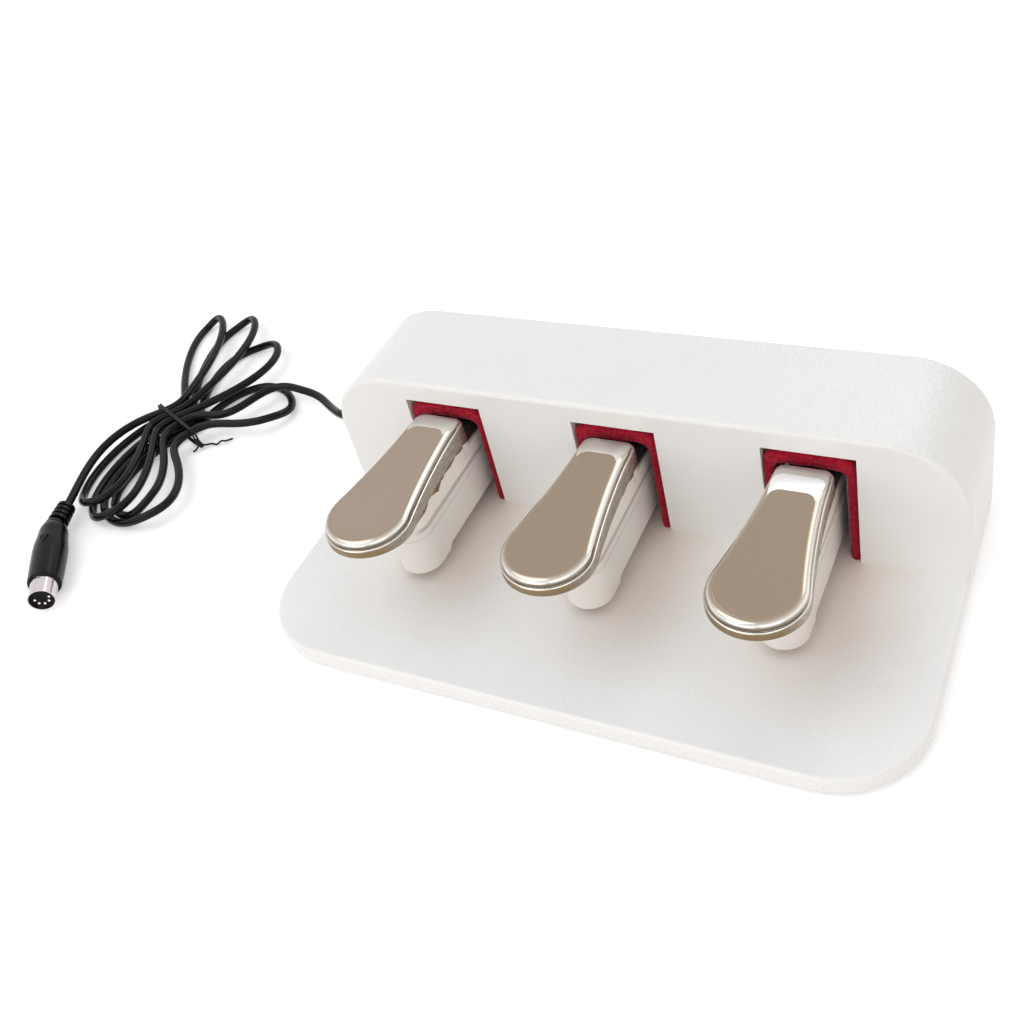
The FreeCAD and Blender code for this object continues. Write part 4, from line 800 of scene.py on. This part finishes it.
for side_name, side_x in SIDES.items():
    make_cap(side_name, side_x)


# Glue: what squeezed out along each cap's lower edge, thick on the left pedal and hardly seen on the others
GLUE_RUN = {"left": (-40.0, 12.0, 2.0), "centre": (-36.0, 2.0, 0.9), "right": (-34.0, 0.0, 0.7)}
GLUE_STEPS = 90
GLUE_ROUND = 8
GLUE_LEAST = 0.06


def cap_half_at(y):
    """Half width of the cap's outline at y, past the head."""
    row = [(py, x) for x, py in cap_ring(0.0) if x > 0 and py > HEAD_Y]
    row.sort()
    for (ya, xa), (yb, xb) in zip(row, row[1:]):
        if ya <= y <= yb:
            return xa + (xb - xa) * (y - ya) / max(yb - ya, 1e-6)
    return row[0][1]


def make_glue_bead(side, px):
    """A lumpy bead on both sides of the lever, as rings of points along Y."""
    y0, y1, size = GLUE_RUN[side]
    mesh = bmesh.new()
    for sign in (-1, 1):
        previous = None
        for k in range(GLUE_STEPS + 1):
            y = y0 + (y1 - y0) * k / GLUE_STEPS
            lump = noise.noise(Vector((y * 0.12, px, sign)))
            lump += 0.3 * noise.noise(Vector((y * 0.42, px, sign * 3)))
            taper = abs(math.sin(math.pi * k / GLUE_STEPS)) ** 0.35
            r = max(size * (0.62 + 0.75 * lump) * taper, GLUE_LEAST)
            reach = cap_half_at(y) - 0.75
            ring = []
            for j in range(GLUE_ROUND):
                a = 2 * math.pi * j / GLUE_ROUND
                x = px + sign * (reach - 0.3 + 0.6 * r * math.cos(a))
                z = edge_z(y) + 0.15 - 0.75 * r + 1.1 * r * math.sin(a)
                ring.append(mesh.verts.new(Vector((x, y, z)) * MM))
            if previous:
                for j in range(GLUE_ROUND):
                    i = (j + 1) % GLUE_ROUND
                    corner = (previous[j], previous[i], ring[i], ring[j])
                    mesh.faces.new(corner if sign < 0 else tuple(reversed(corner)))
            else:
                mesh.faces.new(ring)
            previous = ring
        mesh.faces.new(tuple(reversed(previous)))
    bmesh.ops.recalc_face_normals(mesh, faces=mesh.faces[:])
    data = bpy.data.meshes.new("glue_" + side)
    mesh.to_mesh(data)
    mesh.free()
    for polygon in data.polygons:
        polygon.use_smooth = True
    return piece("glue_bead_" + side, "pedal_" + side, "glue", data, made["glue"])


for side_name, side_x in SIDES.items():
    make_glue_bead(side_name, side_x)


# Felt: a strip bent over each slot, soft at its edges and matted on its face
FELT_T = 4.5
FELT_TOP = 8.2
FELT_CORNER = 8.0
TOP_GAP = 0.8
FELT_BEND = 4.0
FELT_Y0 = 24.8
FELT_Y1 = 33.8
FELT_FRONT_R = 2.1
FELT_BACK_R = 0.9
FELT_SAG = 0.55
FELT_SAG_SWING = 0.75
SLOT_HALF = 18.8
SLOT_H = 56.0


def arch(half, top, bend):
    """A row of (x, z) points up one leg, over the top and down the other."""
    row = []
    for k in range(44):
        row.append((-half, B + (top - bend - B) * k / 44))
    for k in range(8):
        a = math.pi - math.pi / 2 * k / 7
        row.append((-half + bend + bend * math.cos(a), top - bend + bend * math.sin(a)))
    for k in range(1, 14):
        row.append((-half + bend + (half - bend) * k / 14, top))
    return row + [(0.0, top)] + [(-x, z) for x, z in reversed(row)]


def felt_section(thick):
    """Section of the strip as (depth from its outer side, y): rolled in front, squarer behind."""
    front = min(FELT_FRONT_R, 0.46 * thick)
    back = FELT_BACK_R
    corners = [
        (back, FELT_Y1, back, 90), (front, FELT_Y0, front, 180), (thick - front, FELT_Y0, front, 270),
        (thick - back, FELT_Y1, back, 0)]
    section = []
    for cu, y, r, start in corners:
        cy = y - r if start in (90, 0) else y + r
        for j in range(6):
            a = math.radians(start + 18 * j)
            section.append((cu + r * math.cos(a), cy + r * math.sin(a)))
    dense = []
    for k, (u0, y0) in enumerate(section):
        u1, y1 = section[(k + 1) % len(section)]
        steps = 8 if k % 6 == 5 else 1
        dense += [(u0 + (u1 - u0) * j / steps, y0 + (y1 - y0) * j / steps) for j in range(steps)]
    return dense


def make_felt_strip(side, px):
    """The strip's skin: matted all over, and sagging a little where it hangs under the slot's top."""
    outer = arch(SLOT_HALF - 0.05, B + SLOT_H - TOP_GAP, FELT_CORNER)
    inner = arch(SLOT_HALF - FELT_T, B + SLOT_H - FELT_TOP, FELT_BEND)
    rings = []
    for (xa, za), (xb, zb) in zip(outer, inner):
        across = Vector((xb - xa, 0, zb - za))
        thick = across.length
        across.normalize()
        over = ease((za - B - SLOT_H + 9.0) / 8.0) * ease((SLOT_HALF - abs(xa)) / 8.0)
        ring = []
        for u, y in felt_section(thick):
            p = Vector((px + xa, y, za)) + across * u
            sag = FELT_SAG + FELT_SAG_SWING * noise.noise(Vector((px + xa, y * 0.3, 0)) * 0.16)
            matted = 0.14 * noise.noise(p * 1.1) + 0.28 * noise.noise(p * 0.28 + Vector((7, 3, 1)))
            p += across * (matted * min(u / 1.5, 1.0)) + Vector((0, -matted, 0))
            ruffle = max(0.0, noise.noise(Vector((px + xa, 5, 2)) * 0.4))
            p.z -= over * (max(sag, 0.0) + 0.5 * ruffle) * (1.0 if y < FELT_Y0 + 3.0 else 0.4)
            ring.append(p)
        rings.append(ring)
    for k in (0, -1):
        for p in rings[k]:
            p.z = B + 0.02
    mesh = ringed("felt_" + side, rings, (True, True))
    for polygon in mesh.polygons:
        polygon.use_smooth = True
    obj = piece("felt_strip_" + side, "stand", "felt", mesh, made["felt"])
    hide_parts("felt_liner_" + side)
    return obj


for side_name, side_x in SIDES.items():
    make_felt_strip(side_name, side_x)


# Rest pads: a thick felt block under each bracket's web, softly rounded
PAD_ROUND = 0.8


def make_rest_pad(side):
    low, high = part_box("rest_pad_" + side)
    mesh = bpy.data.meshes.new("pad_" + side)
    pad = bmesh.new()
    bmesh.ops.create_cube(pad, size=1.0)
    for v in pad.verts:
        for i in range(3):
            v.co[i] = (low[i] + high[i]) / 2 + v.co[i] * (high[i] - low[i])
    bmesh.ops.bevel(pad, geom=pad.edges[:], offset=PAD_ROUND * MM, segments=3, affect="EDGES")
    pad.to_mesh(mesh)
    pad.free()
    for polygon in mesh.polygons:
        polygon.use_smooth = True
    obj = piece("rest_felt_" + side, "stand", "pad_felt", mesh, made["pad_felt"])
    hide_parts("rest_pad_" + side)
    return obj


for side_name in SIDES:
    make_rest_pad(side_name)


# Floor and studio light: the floor glows a little for the eye only, so that it stays white
# The room is warm low down and cool higher up, as far as it lights the object
FLOOR_HALF = 6
FLOOR_GLOW = 0.34
ROOM_STRENGTH = 0.60
LOW_ROOM = (1.36, 1.13, 0.96, 1.0)
HIGH_ROOM = (0.95, 0.965, 0.98, 1.0)
WHITE = (1.0, 1.0, 1.0, 1.0)
LAMP_TINT = (0.97, 0.99, 1.0)


def seen_ray(tree):
    """1 for what the camera sees directly or in a reflection."""
    direct = add(tree, "LightPath", (), "Is Camera Ray")
    mirrored = add(tree, "LightPath", (), "Is Glossy Ray")
    return add(tree, "Math", (direct, mirrored), operation="MAXIMUM")


stage_skin, tree, shader, _ = new_material("floor_white")
shader.inputs["Base Color"].default_value = lin("F4F4F4")
shader.inputs["Roughness"].default_value = 0.9
shader.inputs["Specular IOR Level"].default_value = 0.0
shader.inputs["Emission Color"].default_value = WHITE
glow = add(tree, "Math", (seen_ray(tree), FLOOR_GLOW), operation="MULTIPLY")
tree.links.new(glow, shader.inputs["Emission Strength"])
floor_mesh = bpy.data.meshes.new("floor")
corners = [(x * FLOOR_HALF, y * FLOOR_HALF, 0) for x, y in ((-1, -1), (1, -1), (1, 1), (-1, 1))]
floor_mesh.from_pydata(corners, [], [(0, 1, 2, 3)])
floor_mesh.materials.append(stage_skin)
floor = bpy.data.objects.new("floor", floor_mesh)
bpy.context.scene.collection.objects.link(floor)

world = bpy.data.worlds.new("studio")
bpy.context.scene.world = world
world.use_nodes = True
tree = world.node_tree
tree.nodes.clear()
seen = seen_ray(tree)
direction = add(tree, "TexCoord", (), "Generated")
height = add(tree, "SeparateXYZ", (direction,), "Z")
upper = add(tree, "MapRange", (height, 0.15, 0.6, 0.0, 1.0))
room = add(tree, "Mix", {0: upper, 6: LOW_ROOM, 7: HIGH_ROOM}, 2, data_type="RGBA")
colour = add(tree, "Mix", {0: seen, 6: room, 7: WHITE}, 2, data_type="RGBA")
strength = add(tree, "MapRange", (seen, 0.0, 1.0, ROOM_STRENGTH, 1.0))
sky = add(tree, "Background", {"Color": colour, "Strength": strength})
add(tree, "OutputWorld", {"Surface": sky})


def lamp(name, place, target, size, power):
    data = bpy.data.lights.new(name, "AREA")
    data.shape = "RECTANGLE"
    data.size, data.size_y = size
    data.energy = power
    data.color = LAMP_TINT
    obj = bpy.data.objects.new(name, data)
    bpy.context.scene.collection.objects.link(obj)
    obj.location = place
    obj.rotation_mode = "QUATERNION"
    obj.rotation_quaternion = (Vector(target) - Vector(place)).to_track_quat("-Z", "Y")


lamp("key", (-0.7, -0.5, 1.6), (0, 0, 0), (1.5, 1.2), 8.9)
lamp("fill", (1.1, -1.2, 0.8), (0, 0, 0.03), (1.2, 1.0), 2.4)
lamp("front", (-0.5, -1.8, 0.55), (0, 0, 0.04), (1.8, 0.7), 5.0)
lamp("back", (0.3, 1.5, 1.3), (0, 0, 0.05), (1.4, 0.6), 5.0)

bpy.context.scene.view_settings.view_transform = "Standard"
